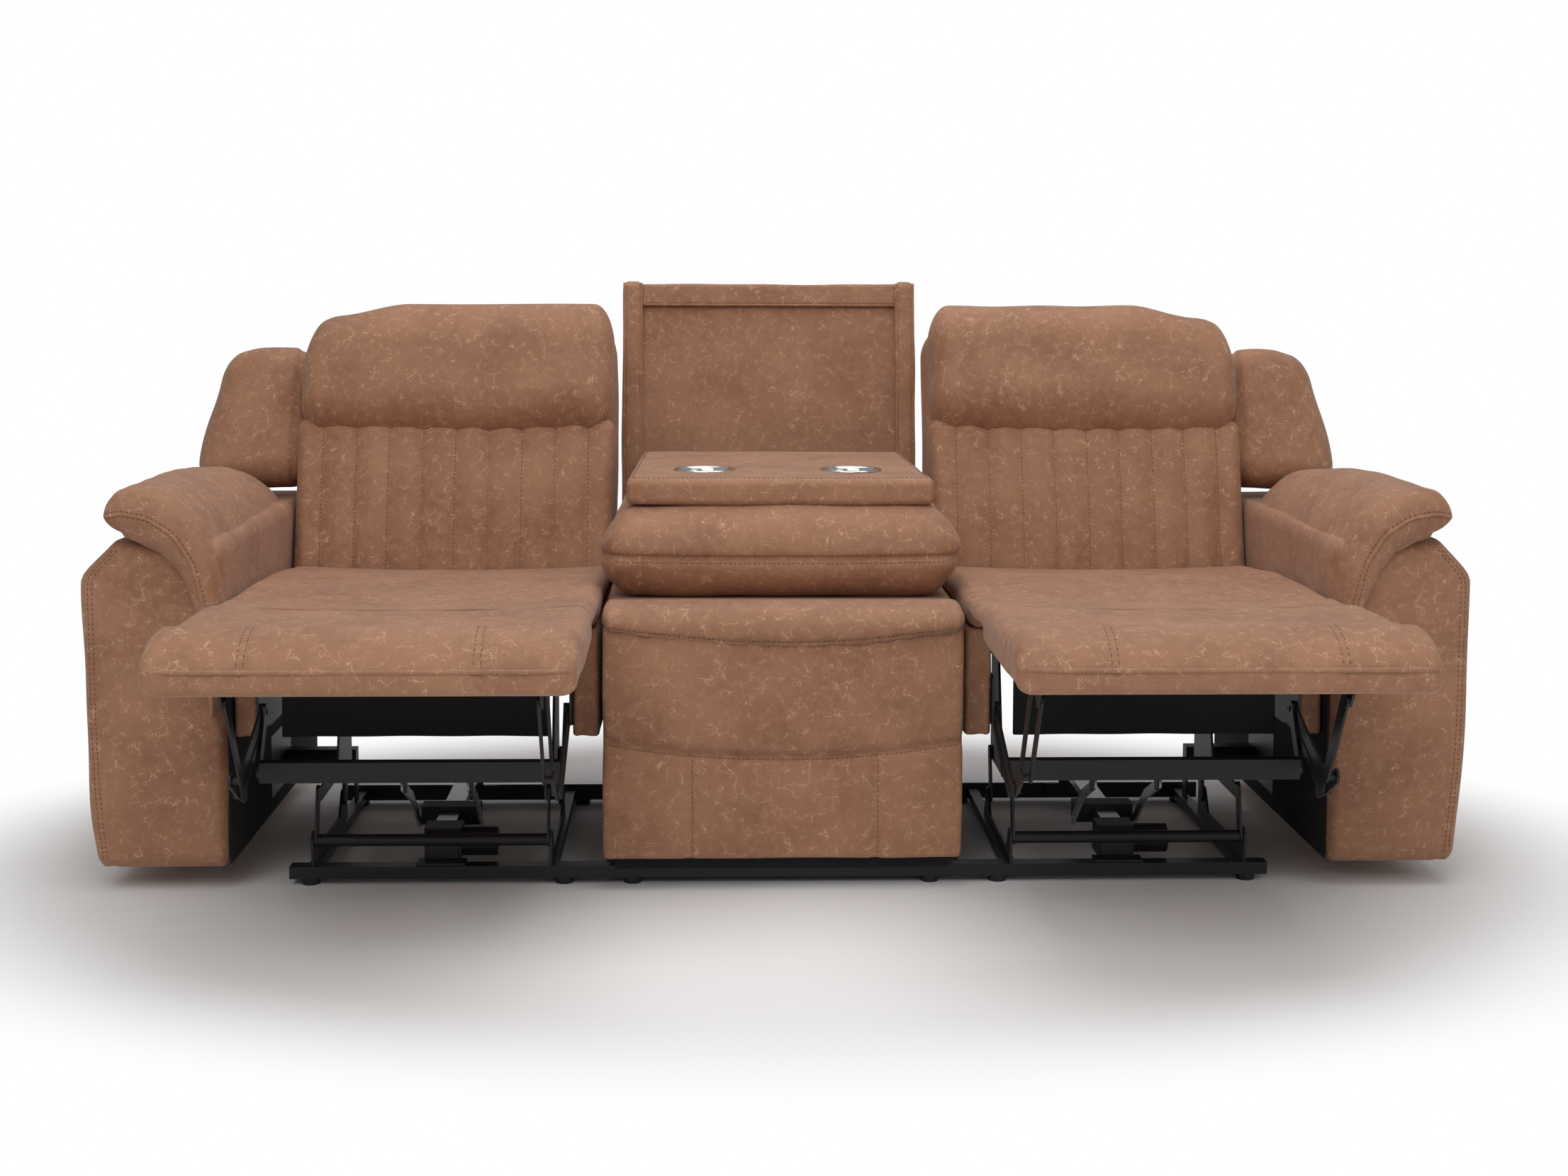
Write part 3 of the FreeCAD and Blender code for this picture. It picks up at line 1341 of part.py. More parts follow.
def centre_back_panel():
    """The fixed panel behind the console: a plain recess with a roll down each side and a header."""
    half = S.centre_half
    height = (S.total_height - S.recess_z) / math.cos(math.radians(S.recess_lean))
    board = S.recess_board
    lean_rise = board * math.sin(math.radians(S.recess_lean))
    low = -330
    plain = Part.makeBox(2 * (half - 4), board, height - 3 - low, V(-half + 4, 0, low))
    pieces = []
    for sign in (-1, 1):
        middle = sign * (half - S.bolster_width / 2)
        wires = []
        for u, trim in ((-40, 3), (0, 0), (height - 26, 0), (height - 3 - lean_rise * 0, 5)):
            x0 = middle - S.bolster_width / 2 + trim
            x1 = middle + S.bolster_width / 2 - trim
            wires.append(pillow_section(lambda a, b: (a, b, u), (x0, -S.bolster_proud + trim), (x1, board - 1),
                                        (0, 0, 0, 0), 10))
        pieces.append(loft(wires))
    header = Part.makeBox(2 * (half - S.bolster_width), board, 44, V(-half + S.bolster_width, -5, height - 47))
    whole = plain.fuse(pieces + [header]).removeSplitter()
    keep_leaning("centre_back_panel", whole, S.recess_y, S.recess_z, S.recess_lean, sides=False)


base_rails()
glide_feet()
mechanism_side_rails()
drive_units()
carriage()
drive_straps()
swings()
seat_side_plates()
rear_footrest_links()
parallel_links()
mid_brackets()
front_footrest_links()
support_links()
footrest_brackets()
footrest_pad()
chaise_flap()
seat_cushion()
seat_frame()
backs()
arms()
switch_plate = controls()
rocker = switch_slot(S.half_width - 7, 6.5, S.rocker_radius, S.rocker_half)
keep_soft("rocker", rocker)
plates = Part.makeCompound([switch_plate, switch_plate.mirror(V(0, 0, 0), V(1, 0, 0))])
keep_soft("switch_plates", plates, sides=False)
centre_seat_frame()
centre_seat_cushion()
centre_front_panel()
console_tray()
cup_holders()
console_arms()
console_hinge_plates()
console_cushion()
centre_back_panel()

doc.recompute()

# Every object has to be sound before anything is written
bad = [item.Label for item in doc.Objects if "Invalid" in item.State or "Error" in item.State]
for item in PARTS:
    if item.Shape.isNull() or not item.Shape.isValid() or not item.Shape.Solids:
        bad.append(item.Label)
if bad:
    raise RuntimeError("these objects failed: " + ", ".join(bad))

os.makedirs("parts", exist_ok=True)
for item in PARTS:
    item.Shape.exportStep(f"parts/{item.Label}.step")
print(len(PARTS), "parts")
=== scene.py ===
import math

import bpy
import numpy as np
from mathutils import Matrix, Vector
from mathutils.bvhtree import BVHTree

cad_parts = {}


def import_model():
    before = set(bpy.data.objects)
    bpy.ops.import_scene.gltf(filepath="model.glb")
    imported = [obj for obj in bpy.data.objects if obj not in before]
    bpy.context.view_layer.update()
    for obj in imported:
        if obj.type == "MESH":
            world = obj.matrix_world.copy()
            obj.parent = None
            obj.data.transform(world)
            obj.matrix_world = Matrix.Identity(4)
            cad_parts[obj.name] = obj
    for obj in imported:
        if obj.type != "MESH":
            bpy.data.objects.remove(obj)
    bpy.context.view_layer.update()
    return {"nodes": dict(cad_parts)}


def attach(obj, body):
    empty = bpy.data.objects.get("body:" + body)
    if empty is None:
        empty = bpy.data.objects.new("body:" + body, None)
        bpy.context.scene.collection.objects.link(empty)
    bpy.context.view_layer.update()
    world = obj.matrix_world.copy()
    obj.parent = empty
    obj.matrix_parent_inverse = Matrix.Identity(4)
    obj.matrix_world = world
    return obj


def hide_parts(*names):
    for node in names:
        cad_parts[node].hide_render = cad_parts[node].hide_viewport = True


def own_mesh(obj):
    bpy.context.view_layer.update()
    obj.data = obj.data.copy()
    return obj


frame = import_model()

# All shapes are drawn in millimetres: x to the right, y back from the arm fronts, z up from the floor.
ARM_FRONT = 217.0
BAY = (300.0, 893.0)
BACK_FOOT = (585.0, 430.0, 16.0)
RECESS_FOOT = (872.0, 465.0, 10.0)
SIDES = (("right", 1), ("left", -1))


# Shapes

def to_frame(points):
    """Millimetres from the arm fronts become metres from the middle of the part."""
    return (np.asarray(points, float) - (0.0, ARM_FRONT, 0.0)) * 0.001


def across(half, radius, cell, bends):
    """Places from -half to half: even angles round both edges, even cells between them."""
    inner = half - radius
    edge = inner + radius * np.tan(np.linspace(0, np.pi / 4, bends + 1))
    flat = np.linspace(-inner, inner, max(2, int(round(2 * inner / cell))) + 1)
    return np.concatenate([-edge[::-1], flat[1:-1], edge])


def block(low, high, radii, cell=9.0, bends=5):
    """A box with elliptic edges, as six grids that share their edge points.

    Each point of the box is its nearest point of an inner box plus an offset; the offset is
    scaled so that its length becomes its largest part, which rounds edges and corners.
    """
    low, high, radii = (np.asarray(v, float) for v in (low, high, radii))
    half = (high - low) / 2
    radii = np.minimum(radii, half * 0.98)
    inner = half - radii
    places = [across(half[k], radii[k], cell, bends) for k in range(3)]
    clouds, faces, start = [], [], 0
    for axis in range(3):
        b, c = (axis + 1) % 3, (axis + 2) % 3
        shape = (len(places[b]), len(places[c]))
        index = start + np.arange(shape[0] * shape[1]).reshape(shape)
        quad = np.stack([index[:-1, :-1], index[1:, :-1], index[1:, 1:], index[:-1, 1:]], -1).reshape(-1, 4)
        for sign in (-1, 1):
            grid = np.empty(shape + (3,))
            grid[..., axis] = sign * half[axis]
            grid[..., b] = places[b][:, None]
            grid[..., c] = places[c][None, :]
            clouds.append(grid.reshape(-1, 3))
            faces.append(quad if sign > 0 else quad[:, ::-1])
            quad = quad + shape[0] * shape[1]
            start += shape[0] * shape[1]
    cloud = np.concatenate(clouds)
    keys = np.round(cloud * 1000).astype(np.int64)
    _, first, where = np.unique(keys, axis=0, return_index=True, return_inverse=True)
    quads = where.reshape(-1)[np.concatenate(faces)]
    cloud = cloud[first]
    core = np.clip(cloud, -inner, inner)
    away = (cloud - core) / radii
    length = np.maximum(np.linalg.norm(away, axis=1, keepdims=True), 1e-9)
    away *= np.abs(away).max(1, keepdims=True) / length
    return core + away * radii + (low + high) / 2, quads


def outward(points, quads):
    """The direction out of the surface at each point: the sum of the faces' normals there."""
    a, b, c, d = (points[quads[:, k]] for k in range(4))
    face = np.cross(c - a, d - b)
    total = np.zeros_like(points)
    for k in range(4):
        np.add.at(total, quads[:, k], face)
    return total / np.maximum(np.linalg.norm(total, axis=1, keepdims=True), 1e-9)


def puffed(points, quads, rise):
    """Each point moves out of the surface by its own rise."""
    return points + outward(points, quads) * np.asarray(rise)[:, None]


def hump(t, power=1.0):
    """1 in the middle of a 0 to 1 run and 0 at its ends: (1 - (2t - 1) squared) to a power."""
    return np.clip(1 - (2 * np.clip(t, 0, 1) - 1) ** 2, 0, 1) ** power


def ease(t):
    """0 to 1 with soft ends: 3t squared - 2t cubed."""
    t = np.clip(t, 0, 1)
    return t * t * (3 - 2 * t)


def smooth_line(t, knots, values):
    """Straight runs through the knots, averaged over a short window so the bends are soft."""
    fine = np.linspace(knots[0], knots[-1], 600)
    line = np.interp(fine, knots, values)
    window = np.hanning(61) / np.hanning(61).sum()
    padded = np.concatenate([np.full(30, line[0]), line, np.full(30, line[-1])])
    return np.interp(t, fine, np.convolve(padded, window, "valid"))


def groove(distance, width):
    """The dip of a sewn seam: 1 on the seam, falling off as exp(-(distance / width) squared)."""
    return np.exp(-((distance / width) ** 2))


def uneven(points, seed, size, rise):
    """Hand-filled softness: seven sine waves about size long, in set directions, adding up to rise."""
    draw = np.random.default_rng(seed)
    total = np.zeros(len(points))
    for _ in range(7):
        way = draw.normal(size=3)
        wave = 2 * np.pi / (size * draw.uniform(0.7, 1.6))
        total += np.sin(points @ (way / np.linalg.norm(way)) * wave + draw.uniform(0, 6.28))
    return rise * total / 4


def leaned(points, foot):
    """Points given as x, depth and height along a back are leaned about X and set on its foot."""
    y, z, lean = foot
    s, c = math.sin(math.radians(lean)), math.cos(math.radians(lean))
    x, v, u = np.asarray(points, float).T
    return np.stack([x, y + v * c + u * s, z - v * s + u * c], 1)


def tube(path, radius, sides=8):
    """A round cord: each path point carries a circle square to the path, and both ends are closed."""
    path = np.asarray(path, float)
    way = np.gradient(path, axis=0)
    way /= np.linalg.norm(way, axis=1, keepdims=True)
    spare = np.eye(3)[np.argmin(np.abs(way).sum(0))]
    side = np.cross(way, spare)
    side /= np.linalg.norm(side, axis=1, keepdims=True)
    up = np.cross(side, way)
    turn = np.linspace(0, 2 * np.pi, sides, endpoint=False)
    ring = path[:, None] + radius * (np.cos(turn)[:, None] * side[:, None] + np.sin(turn)[:, None] * up[:, None])
    count = len(path)
    index = np.arange(count * sides).reshape(count, sides)
    after = np.roll(index, -1, axis=1)
    quads = np.stack([index[:-1], index[1:], after[1:], after[:-1]], -1).reshape(-1, 4).tolist()
    return ring.reshape(-1, 3), quads + [index[0].tolist(), index[-1][::-1].tolist()]


def turned(profile, centre, sides=72):
    """A spun shape: a profile of radius and height carried round an upright axis, closed on the axis."""
    profile = np.asarray(profile, float)
    turn = np.linspace(0, 2 * np.pi, sides, endpoint=False)
    x = centre[0] + profile[1:-1, 0, None] * np.cos(turn)
    y = centre[1] + profile[1:-1, 0, None] * np.sin(turn)
    z = np.repeat(profile[1:-1, 1, None], sides, axis=1)
    rings = len(profile) - 2
    points = np.concatenate([
        np.stack([x, y, z], -1).reshape(-1, 3),
        [[centre[0], centre[1], profile[0, 1]], [centre[0], centre[1], profile[-1, 1]]],
    ])
    index = np.arange(rings * sides).reshape(rings, sides)
    after = np.roll(index, -1, axis=1)
    faces = np.stack([index[:-1], after[:-1], after[1:], index[1:]], -1).reshape(-1, 4).tolist()
    first = np.stack([np.full(sides, rings * sides), after[0], index[0]], -1).tolist()
    last = np.stack([np.full(sides, rings * sides + 1), index[-1], after[-1]], -1).tolist()
    return points, faces + first + last


def flipped(points, faces, sign):
    """The same shape on the other side of the sofa: x changes sign and the faces turn round."""
    if sign > 0:
        return points, faces
    faces = faces[:, ::-1] if isinstance(faces, np.ndarray) else [face[::-1] for face in faces]
    return points * (-1, 1, 1), faces


def make(name, shape, material, body, replaces=()):
    """Puts a shape into the scene as one smooth piece that moves with its body."""
    points, faces = shape
    mesh = bpy.data.meshes.new(name)
    mesh.from_pydata(to_frame(points).tolist(), [], faces.tolist() if isinstance(faces, np.ndarray) else faces)
    mesh.polygons.foreach_set("use_smooth", np.ones(len(mesh.polygons), bool))
    mesh.materials.append(material)
    mesh.update()
    piece = bpy.data.objects.new(name, mesh)
    bpy.context.scene.collection.objects.link(piece)
    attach(piece, body)
    if replaces:
        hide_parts(*replaces)
    return piece


def stitches(shape, path, toward, step=8.0, thick=0.8):
    """A row of sewn threads: path steps are dropped onto the shape, and each carries a slim bead.

    A bead has a point at each end and a square waist, so it is eight triangles.
    """
    points, faces = shape
    tree = BVHTree.FromPolygons(points.tolist(), faces.tolist() if isinstance(faces, np.ndarray) else faces)
    path = np.asarray(path, float)
    run = np.concatenate([[0], np.cumsum(np.linalg.norm(np.diff(path, axis=0), axis=1))])
    marks = np.linspace(0, run[-1], max(2, int(run[-1] / step)) + 1)
    spots = np.stack([np.interp(marks, run, path[:, k]) for k in range(3)], 1)
    hits = [tree.ray_cast(Vector(spot), Vector(toward)) for spot in spots]
    found = [(hit[0], hit[1]) for hit in hits if hit[0] is not None]
    on = np.array([tuple(hit[0]) for hit in found])
    normal = np.array([tuple(hit[1]) for hit in found])
    normal *= np.where((normal @ np.asarray(toward, float)) > 0, -1, 1)[:, None]
    a, b = on[:-1], on[1:]
    keep = np.linalg.norm(b - a, axis=1) < step * 2.5
    a, b, lift = a[keep], b[keep], normal[:-1][keep]
    side = np.cross(b - a, lift)
    side /= np.maximum(np.linalg.norm(side, axis=1, keepdims=True), 1e-9)
    middle = (a + b) / 2 + lift * thick * 0.4
    reach = (b - a) * 0.36
    corners = np.stack([
        middle - reach, middle + reach, middle + side * thick, middle + lift * thick,
        middle - side * thick, middle - lift * thick,
    ], 1)
    pattern = np.array([[0, 2, 3], [0, 3, 4], [0, 4, 5], [0, 5, 2], [1, 3, 2], [1, 4, 3], [1, 5, 4], [1, 2, 5]])
    faces = (np.arange(len(a))[:, None, None] * 6 + pattern).reshape(-1, 3)
    return corners.reshape(-1, 3), faces.tolist()


def joined(shapes):
    """Several shapes as one."""
    points, faces, start = [], [], 0
    for cloud, found in shapes:
        points.append(cloud)
        found = found.tolist() if isinstance(found, np.ndarray) else found
        faces += [[corner + start for corner in face] for face in found]
        start += len(cloud)
    return np.concatenate(points), faces


# Materials

def shade(hex_colour):
    """An sRGB hex colour as linear red, green, blue and 1."""
    parts = [int(hex_colour[k:k + 2], 16) / 255 for k in (1, 3, 5)]
    return [p / 12.92 if p <= 0.04045 else ((p + 0.055) / 1.055) ** 2.4 for p in parts] + [1.0]


def add(tree, kind, settings=None, sockets=None):
    """Adds one node: settings are its own choices, sockets are values or other nodes' outputs."""
    node = tree.nodes.new(kind)
    for name, value in (settings or {}).items():
        setattr(node, name, value)
    for name, value in (sockets or {}).items():
        if isinstance(value, bpy.types.NodeSocket):
            tree.links.new(value, node.inputs[name])
        else:
            node.inputs[name].default_value = value
    return node


def finish(name):
    """A new material with an empty tree, its shader and its object coordinates."""
    material = bpy.data.materials.new(name)
    material.use_nodes = True
    tree = material.node_tree
    tree.nodes.clear()
    shader = add(tree, "ShaderNodeBsdfPrincipled")
    out = add(tree, "ShaderNodeOutputMaterial", None, {"Surface": shader.outputs[0]})
    place = add(tree, "ShaderNodeTexCoord").outputs["Object"]
    return material, tree, shader, place


def distressed_suede():
    """Faux suede leather: a soft nap over a rubbed tan coat with pale hairline crackle, 1.4 mm grain."""
    material, tree, shader, place = finish("distressed_faux_suede")
    patches = add(tree, "ShaderNodeTexNoise", None, {"Vector": place, "Scale": 9.0, "Detail": 5.0, "Roughness": 0.6})
    mottle = add(tree, "ShaderNodeTexNoise", None, {"Vector": place, "Scale": 60.0, "Detail": 4.0, "Roughness": 0.65})
    grain = add(tree, "ShaderNodeTexNoise", None, {"Vector": place, "Scale": 720.0, "Detail": 2.0})
    bend = add(tree, "ShaderNodeTexNoise", None, {"Vector": place, "Scale": 38.0, "Detail": 3.0})
    bent = add(tree, "ShaderNodeVectorMath", {"operation": "MULTIPLY_ADD"}, {
        0: bend.outputs["Color"], 1: (0.035, 0.035, 0.035), 2: place})
    lines = add(tree, "ShaderNodeTexVoronoi", {"feature": "DISTANCE_TO_EDGE"}, {
        "Vector": bent.outputs[0], "Scale": 36.0, "Randomness": 1.0})
    hairs = add(tree, "ShaderNodeTexVoronoi", {"feature": "DISTANCE_TO_EDGE"}, {
        "Vector": bent.outputs[0], "Scale": 88.0, "Randomness": 1.0})
    crack = add(tree, "ShaderNodeMapRange", {"interpolation_type": "SMOOTHSTEP"}, {
        "Value": lines.outputs["Distance"], "From Min": 0.0, "From Max": 0.034, "To Min": 1.0, "To Max": 0.0})
    hair = add(tree, "ShaderNodeMapRange", {"interpolation_type": "SMOOTHSTEP"}, {
        "Value": hairs.outputs["Distance"], "From Min": 0.0, "From Max": 0.042, "To Min": 0.6, "To Max": 0.0})
    where = add(tree, "ShaderNodeMapRange", {"interpolation_type": "SMOOTHSTEP"}, {
        "Value": mottle.outputs["Fac"], "From Min": 0.45, "From Max": 0.6})
    both = add(tree, "ShaderNodeMath", {"operation": "MAXIMUM"}, {0: crack.outputs[0], 1: hair.outputs[0]})
    pale = add(tree, "ShaderNodeMath", {"operation": "MULTIPLY"}, {0: both.outputs[0], 1: where.outputs[0]})
    worn = add(tree, "ShaderNodeMath", {"operation": "MULTIPLY"}, {0: pale.outputs[0], 1: 0.75})
    tone = add(tree, "ShaderNodeMapRange", None, {
        "Value": patches.outputs["Fac"], "From Min": 0.32, "From Max": 0.68})
    coat = add(tree, "ShaderNodeMix", {"data_type": "RGBA"}, {"Factor": tone.outputs[0]})
    coat.inputs[6].default_value = shade("#8A5E45")
    coat.inputs[7].default_value = shade("#A27457")
    speckle = add(tree, "ShaderNodeMapRange", None, {
        "Value": mottle.outputs["Fac"], "From Min": 0.3, "From Max": 0.7, "To Min": 0.0, "To Max": 0.45})
    rubbed = add(tree, "ShaderNodeMix", {"data_type": "RGBA"}, {"Factor": speckle.outputs[0]})
    tree.links.new(coat.outputs[2], rubbed.inputs[6])
    rubbed.inputs[7].default_value = shade("#A87C60")
    marked = add(tree, "ShaderNodeMix", {"data_type": "RGBA"}, {"Factor": worn.outputs[0]})
    tree.links.new(rubbed.outputs[2], marked.inputs[6])
    marked.inputs[7].default_value = shade("#CDA486")
    tree.links.new(marked.outputs[2], shader.inputs["Base Color"])
    matt = add(tree, "ShaderNodeMapRange", None, {
        "Value": mottle.outputs["Fac"], "From Min": 0.3, "From Max": 0.7, "To Min": 0.58, "To Max": 0.74})
    tree.links.new(matt.outputs[0], shader.inputs["Roughness"])
    dents = add(tree, "ShaderNodeBump", None, {"Height": mottle.outputs["Fac"], "Strength": 0.3, "Distance": 0.0015})
    fine = add(tree, "ShaderNodeBump", None, {
        "Height": grain.outputs["Fac"], "Strength": 0.35, "Distance": 0.0005, "Normal": dents.outputs[0]})
    cuts = add(tree, "ShaderNodeBump", {"invert": True}, {
        "Height": pale.outputs[0], "Strength": 0.35, "Distance": 0.0006, "Normal": fine.outputs[0]})
    tree.links.new(cuts.outputs[0], shader.inputs["Normal"])
    shader.inputs["Specular IOR Level"].default_value = 0.35
    shader.inputs["Sheen Weight"].default_value = 0.12
    shader.inputs["Sheen Roughness"].default_value = 0.5
    return material


def plain_finish(name, low, high, rough, metallic=0.0, size=400.0, bump=0.15, depth=0.0003, coat=0.0):
    """Two close shades mixed by a fine noise, with that noise in the roughness and the bump."""
    material, tree, shader, place = finish(name)
    noise = add(tree, "ShaderNodeTexNoise", None, {"Vector": place, "Scale": size, "Detail": 3.0})
    mixed = add(tree, "ShaderNodeMix", {"data_type": "RGBA"}, {"Factor": noise.outputs["Fac"]})
    mixed.inputs[6].default_value = shade(low)
    mixed.inputs[7].default_value = shade(high)
    tree.links.new(mixed.outputs[2], shader.inputs["Base Color"])
    matt = add(tree, "ShaderNodeMapRange", None, {
        "Value": noise.outputs["Fac"], "From Min": 0.3, "From Max": 0.7,
        "To Min": rough - 0.06, "To Max": rough + 0.06})
    tree.links.new(matt.outputs[0], shader.inputs["Roughness"])
    dents = add(tree, "ShaderNodeBump", None, {
        "Height": noise.outputs["Fac"], "Strength": bump, "Distance": depth})
    tree.links.new(dents.outputs[0], shader.inputs["Normal"])
    shader.inputs["Metallic"].default_value = metallic
    shader.inputs["Coat Weight"].default_value = coat
    return material


def black_lining_cloth():
    """Spun dust-cover cloth: matt black with a 2 mm open weave, drawn as crossed waves."""
    material, tree, shader, place = finish("black_lining_cloth")
    wefts = add(tree, "ShaderNodeTexWave", {"bands_direction": "Z"}, {"Vector": place, "Scale": 160.0})
    warps = add(tree, "ShaderNodeTexWave", {"bands_direction": "X"}, {"Vector": place, "Scale": 160.0})
    weave = add(tree, "ShaderNodeMath", {"operation": "MULTIPLY"}, {0: wefts.outputs["Fac"], 1: warps.outputs["Fac"]})
    mixed = add(tree, "ShaderNodeMix", {"data_type": "RGBA"}, {"Factor": weave.outputs[0]})
    mixed.inputs[6].default_value = shade("#0E0E0F")
    mixed.inputs[7].default_value = shade("#1D1D1F")
    tree.links.new(mixed.outputs[2], shader.inputs["Base Color"])
    raised = add(tree, "ShaderNodeBump", None, {"Height": weave.outputs[0], "Strength": 0.3, "Distance": 0.0004})
    tree.links.new(raised.outputs[0], shader.inputs["Normal"])
    shader.inputs["Roughness"].default_value = 0.9
    return material


suede = distressed_suede()
lining = black_lining_cloth()
# Bonded polyester thread, a shade darker than the cover.
thread = plain_finish("tan_bonded_thread", "#5E3D2B", "#7A5440", 0.6, size=900.0)
# Powder-coated mild steel: near black, a soft broken shine.
coated_steel = plain_finish("black_powder_coated_steel", "#101011", "#1C1C1E", 0.42, size=500.0)
# Bright zinc-plated steel: pale, slightly streaked.
zinc = plain_finish("zinc_plated_steel", "#B4B5B4", "#D2D3D4", 0.3, metallic=1.0, size=220.0)
# Moulded ABS of the motor case: black with a fine spark-eroded texture.
motor_abs = plain_finish("black_moulded_abs", "#131314", "#232325", 0.5, size=700.0)
# Moulded nylon of the carriage and glides.
nylon = plain_finish("black_nylon", "#0F0F10", "#19191A", 0.55, size=600.0)
# Polished chromed steel of the cups.
chrome = plain_finish("polished_chromed_cup", "#D5D7DA", "#EDEEF0", 0.12, metallic=1.0, size=90.0, bump=0.03)
# Satin-brushed plate round the hand switch.
brushed = plain_finish("satin_switch_plate", "#8F9092", "#B2B3B5", 0.35, metallic=1.0, size=300.0)

NODE_FINISH = {
    "base_rails": coated_steel, "glide_feet": nylon, "mechanism_side_rails": coated_steel,
    "actuator_brackets": coated_steel, "drive_motors": motor_abs, "actuator_rails": zinc,
    "switch_plates": brushed, "centre_seat_frame": lining, "console_hinge_plates": coated_steel,
    "console_arms": coated_steel,
}
SIDE_FINISH = {
    "front_swing": coated_steel, "rear_swing": coated_steel, "seat_side_plates": coated_steel,
    "back_hinge_arms": coated_steel, "rear_footrest_links": coated_steel, "parallel_links": coated_steel,
    "mid_brackets": coated_steel, "front_footrest_links": coated_steel, "support_links": coated_steel,
    "footrest_brackets": coated_steel, "drive_straps": zinc, "carriage": nylon, "rocker": motor_abs,
}
for side, _ in SIDES:
    NODE_FINISH.update({f"{side}_{name}": material for name, material in SIDE_FINISH.items()})
for name, material in NODE_FINISH.items():
    node = frame["nodes"][name]
    if not node.material_slots:
        node.data.materials.append(material)
    for holder in node.material_slots:
        holder.link = "OBJECT"
        holder.material = material


# Recliners

def dish(x, depth):
    """The sitter's hollow: the middle of the pad is depth lower than its sides."""
    t = (x - BAY[0]) / (BAY[1] - BAY[0])
    return -depth * hump(t, 0.8)


def footrest_pad(seed):
    """The legrest: a flat dished pad, then a front roll with two upright seams above a plain band."""
    points, quads = block((300.5, -556, 430), (892.5, -161, 500), (24, 16, 22), 7.0)
    x, y, z = points.T
    t = (-161 - y) / 395
    h = np.clip((z - 430) / 70, 0, 1)
    rise = smooth_line(t, [0, 0.1, 0.5, 0.64, 0.7, 0.76, 0.85, 0.93, 1.0], [0, 2, 3, 2, -2, 17, 13, -1, -27])
    points[:, 2] = z + h * (rise + dish(x, 9) * (1 - ease((t - 0.5) / 0.2)))
    points[:, 0] = x + np.sign(x - 596) * 3 * hump(t) * hump(h)
    front = ease((t - 0.7) / 0.06) * np.clip(h * 2 - 0.6, 0, 1)
    seam = groove(x - 436, 6) + groove(x - 756, 6)
    rise = uneven(points, seed, 130, 1.3) * ease(h * 2) - 3.4 * seam * front - 7 * groove(t - 0.695, 0.02) * h
    rise += 2.0 * front * hump((np.clip(x, 436, 756) - 436) / 320) * (x > 436) * (x < 756)
    return puffed(points, quads, rise), quads


def chaise_flap(seed):
    """The soft bridge between seat and legrest."""
    points, quads = block((301, -158.5, 450), (892, -39.5, 488), (24, 1.5, 18), 8.0)
    x, y, z = points.T
    t = (-39.5 - y) / 119
    h = np.clip((z - 450) / 38, 0, 1)
    points[:, 2] = z + h * (dish(x, 9) + 3 + 8 * t - 3 * hump(t))
    return puffed(points, quads, uneven(points, seed, 120, 0.8) * h * hump(t, 0.5)), quads


def seat_cushion(seed):
    """The seat: a crowned pad with a soft nose, resting on the side boxes."""
    points, quads = block((300.5, -38, 426), (892.5, 570, 478), (24, 3, 20), 9.0)
    x, y, z = points.T
    t = (y + 38) / 608
    h = np.clip((z - 426) / 52, 0, 1)
    lift = smooth_line(t, [0, 0.25, 0.6, 1.0], [4, 6, 0, -16])
    points[:, 2] = z + h * (lift + dish(x, 9) + 5 * hump(t)) + (1 - h) * 24 * (1 - ease((y - 30) / 30))
    return puffed(points, quads, uneven(points, seed, 150, 1.5) * ease(h * 2) * hump(t, 0.4)), quads


def seat_box(seed):
    """Two covered side boxes under the seat, each with one upright seam on its front."""
    boxes = []
    for low, high, seam in ((300, 343.5, 326), (854.5, 893, 874)):
        points, quads = block((low, 60, 246), (high, 560, 426), (7, 9, 6), 7.0)
        rise = -2.5 * groove(points[:, 0] - seam, 4) * (points[:, 1] < 75) + uneven(points, seed, 90, 0.8)
        boxes.append((puffed(points, quads, rise), quads))
    return joined(boxes)


def apron():
    """Black cloth stretched under the seat's front, its hem a little loose between the boxes."""
    points, quads = block((381, 66, 246), (817, 71, 446), (3, 2, 3), 8.0, 2)
    t = (points[:, 0] - 381) / 436
    low = np.clip((330 - points[:, 2]) / 84, 0, 1)
    points[:, 1] += 2 * np.sin(points[:, 0] / 23) * low + 3 * hump(t) * low
    return points, quads


def back_shell(seed):
    """The covered back board, with two upright seams down its rear."""
    points, quads = block((300.5, 111, -118), (892.5, 199, 512), (24, 34, 44), 10.0)
    x, v, u = points.T
    rear = np.clip((v - 160) / 30, 0, 1)
    rise = uneven(points, seed, 200, 2.0) + 5 * rear * hump((u + 118) / 630, 0.6)
    rise -= 3.5 * rear * (groove(x - 450, 5) + groove(x - 743, 5))
    corner = 46 * ease((x - 740) / 150) ** 2 * ease((u - 300) / 212)
    points = puffed(points, quads, rise)
    points[:, 2] -= corner
    return leaned(points, BACK_FOOT), quads


def wing(seed):
    """The padded wing beside the back: full, rounded at the top, wider where it meets the arm."""
    points, quads = block((876, 42, 196), (1094, 144, 464), (46, 40, 50), 7.0)
    x, v, u = points.T
    t = (u - 196) / 268
    reach = (x - 876) / 218
    points[:, 0] = 876 + (x - 876) * (1 - 0.19 * ease(t) ** 1.5)
    points[:, 1] = v - 12 * hump(reach) * (v < 93) + 14 * reach ** 2
    points[:, 2] = u - 14 * ease((reach - 0.55) / 0.45) * ease(t * 2 - 0.6)
    rise = uneven(points, seed, 120, 2.2) - 4 * groove(reach - 0.14, 0.03) * (v < 90)
    return leaned(puffed(points, quads, rise), BACK_FOOT), quads


SEAMS = [348 + 497 * k / 8 for k in range(9)]


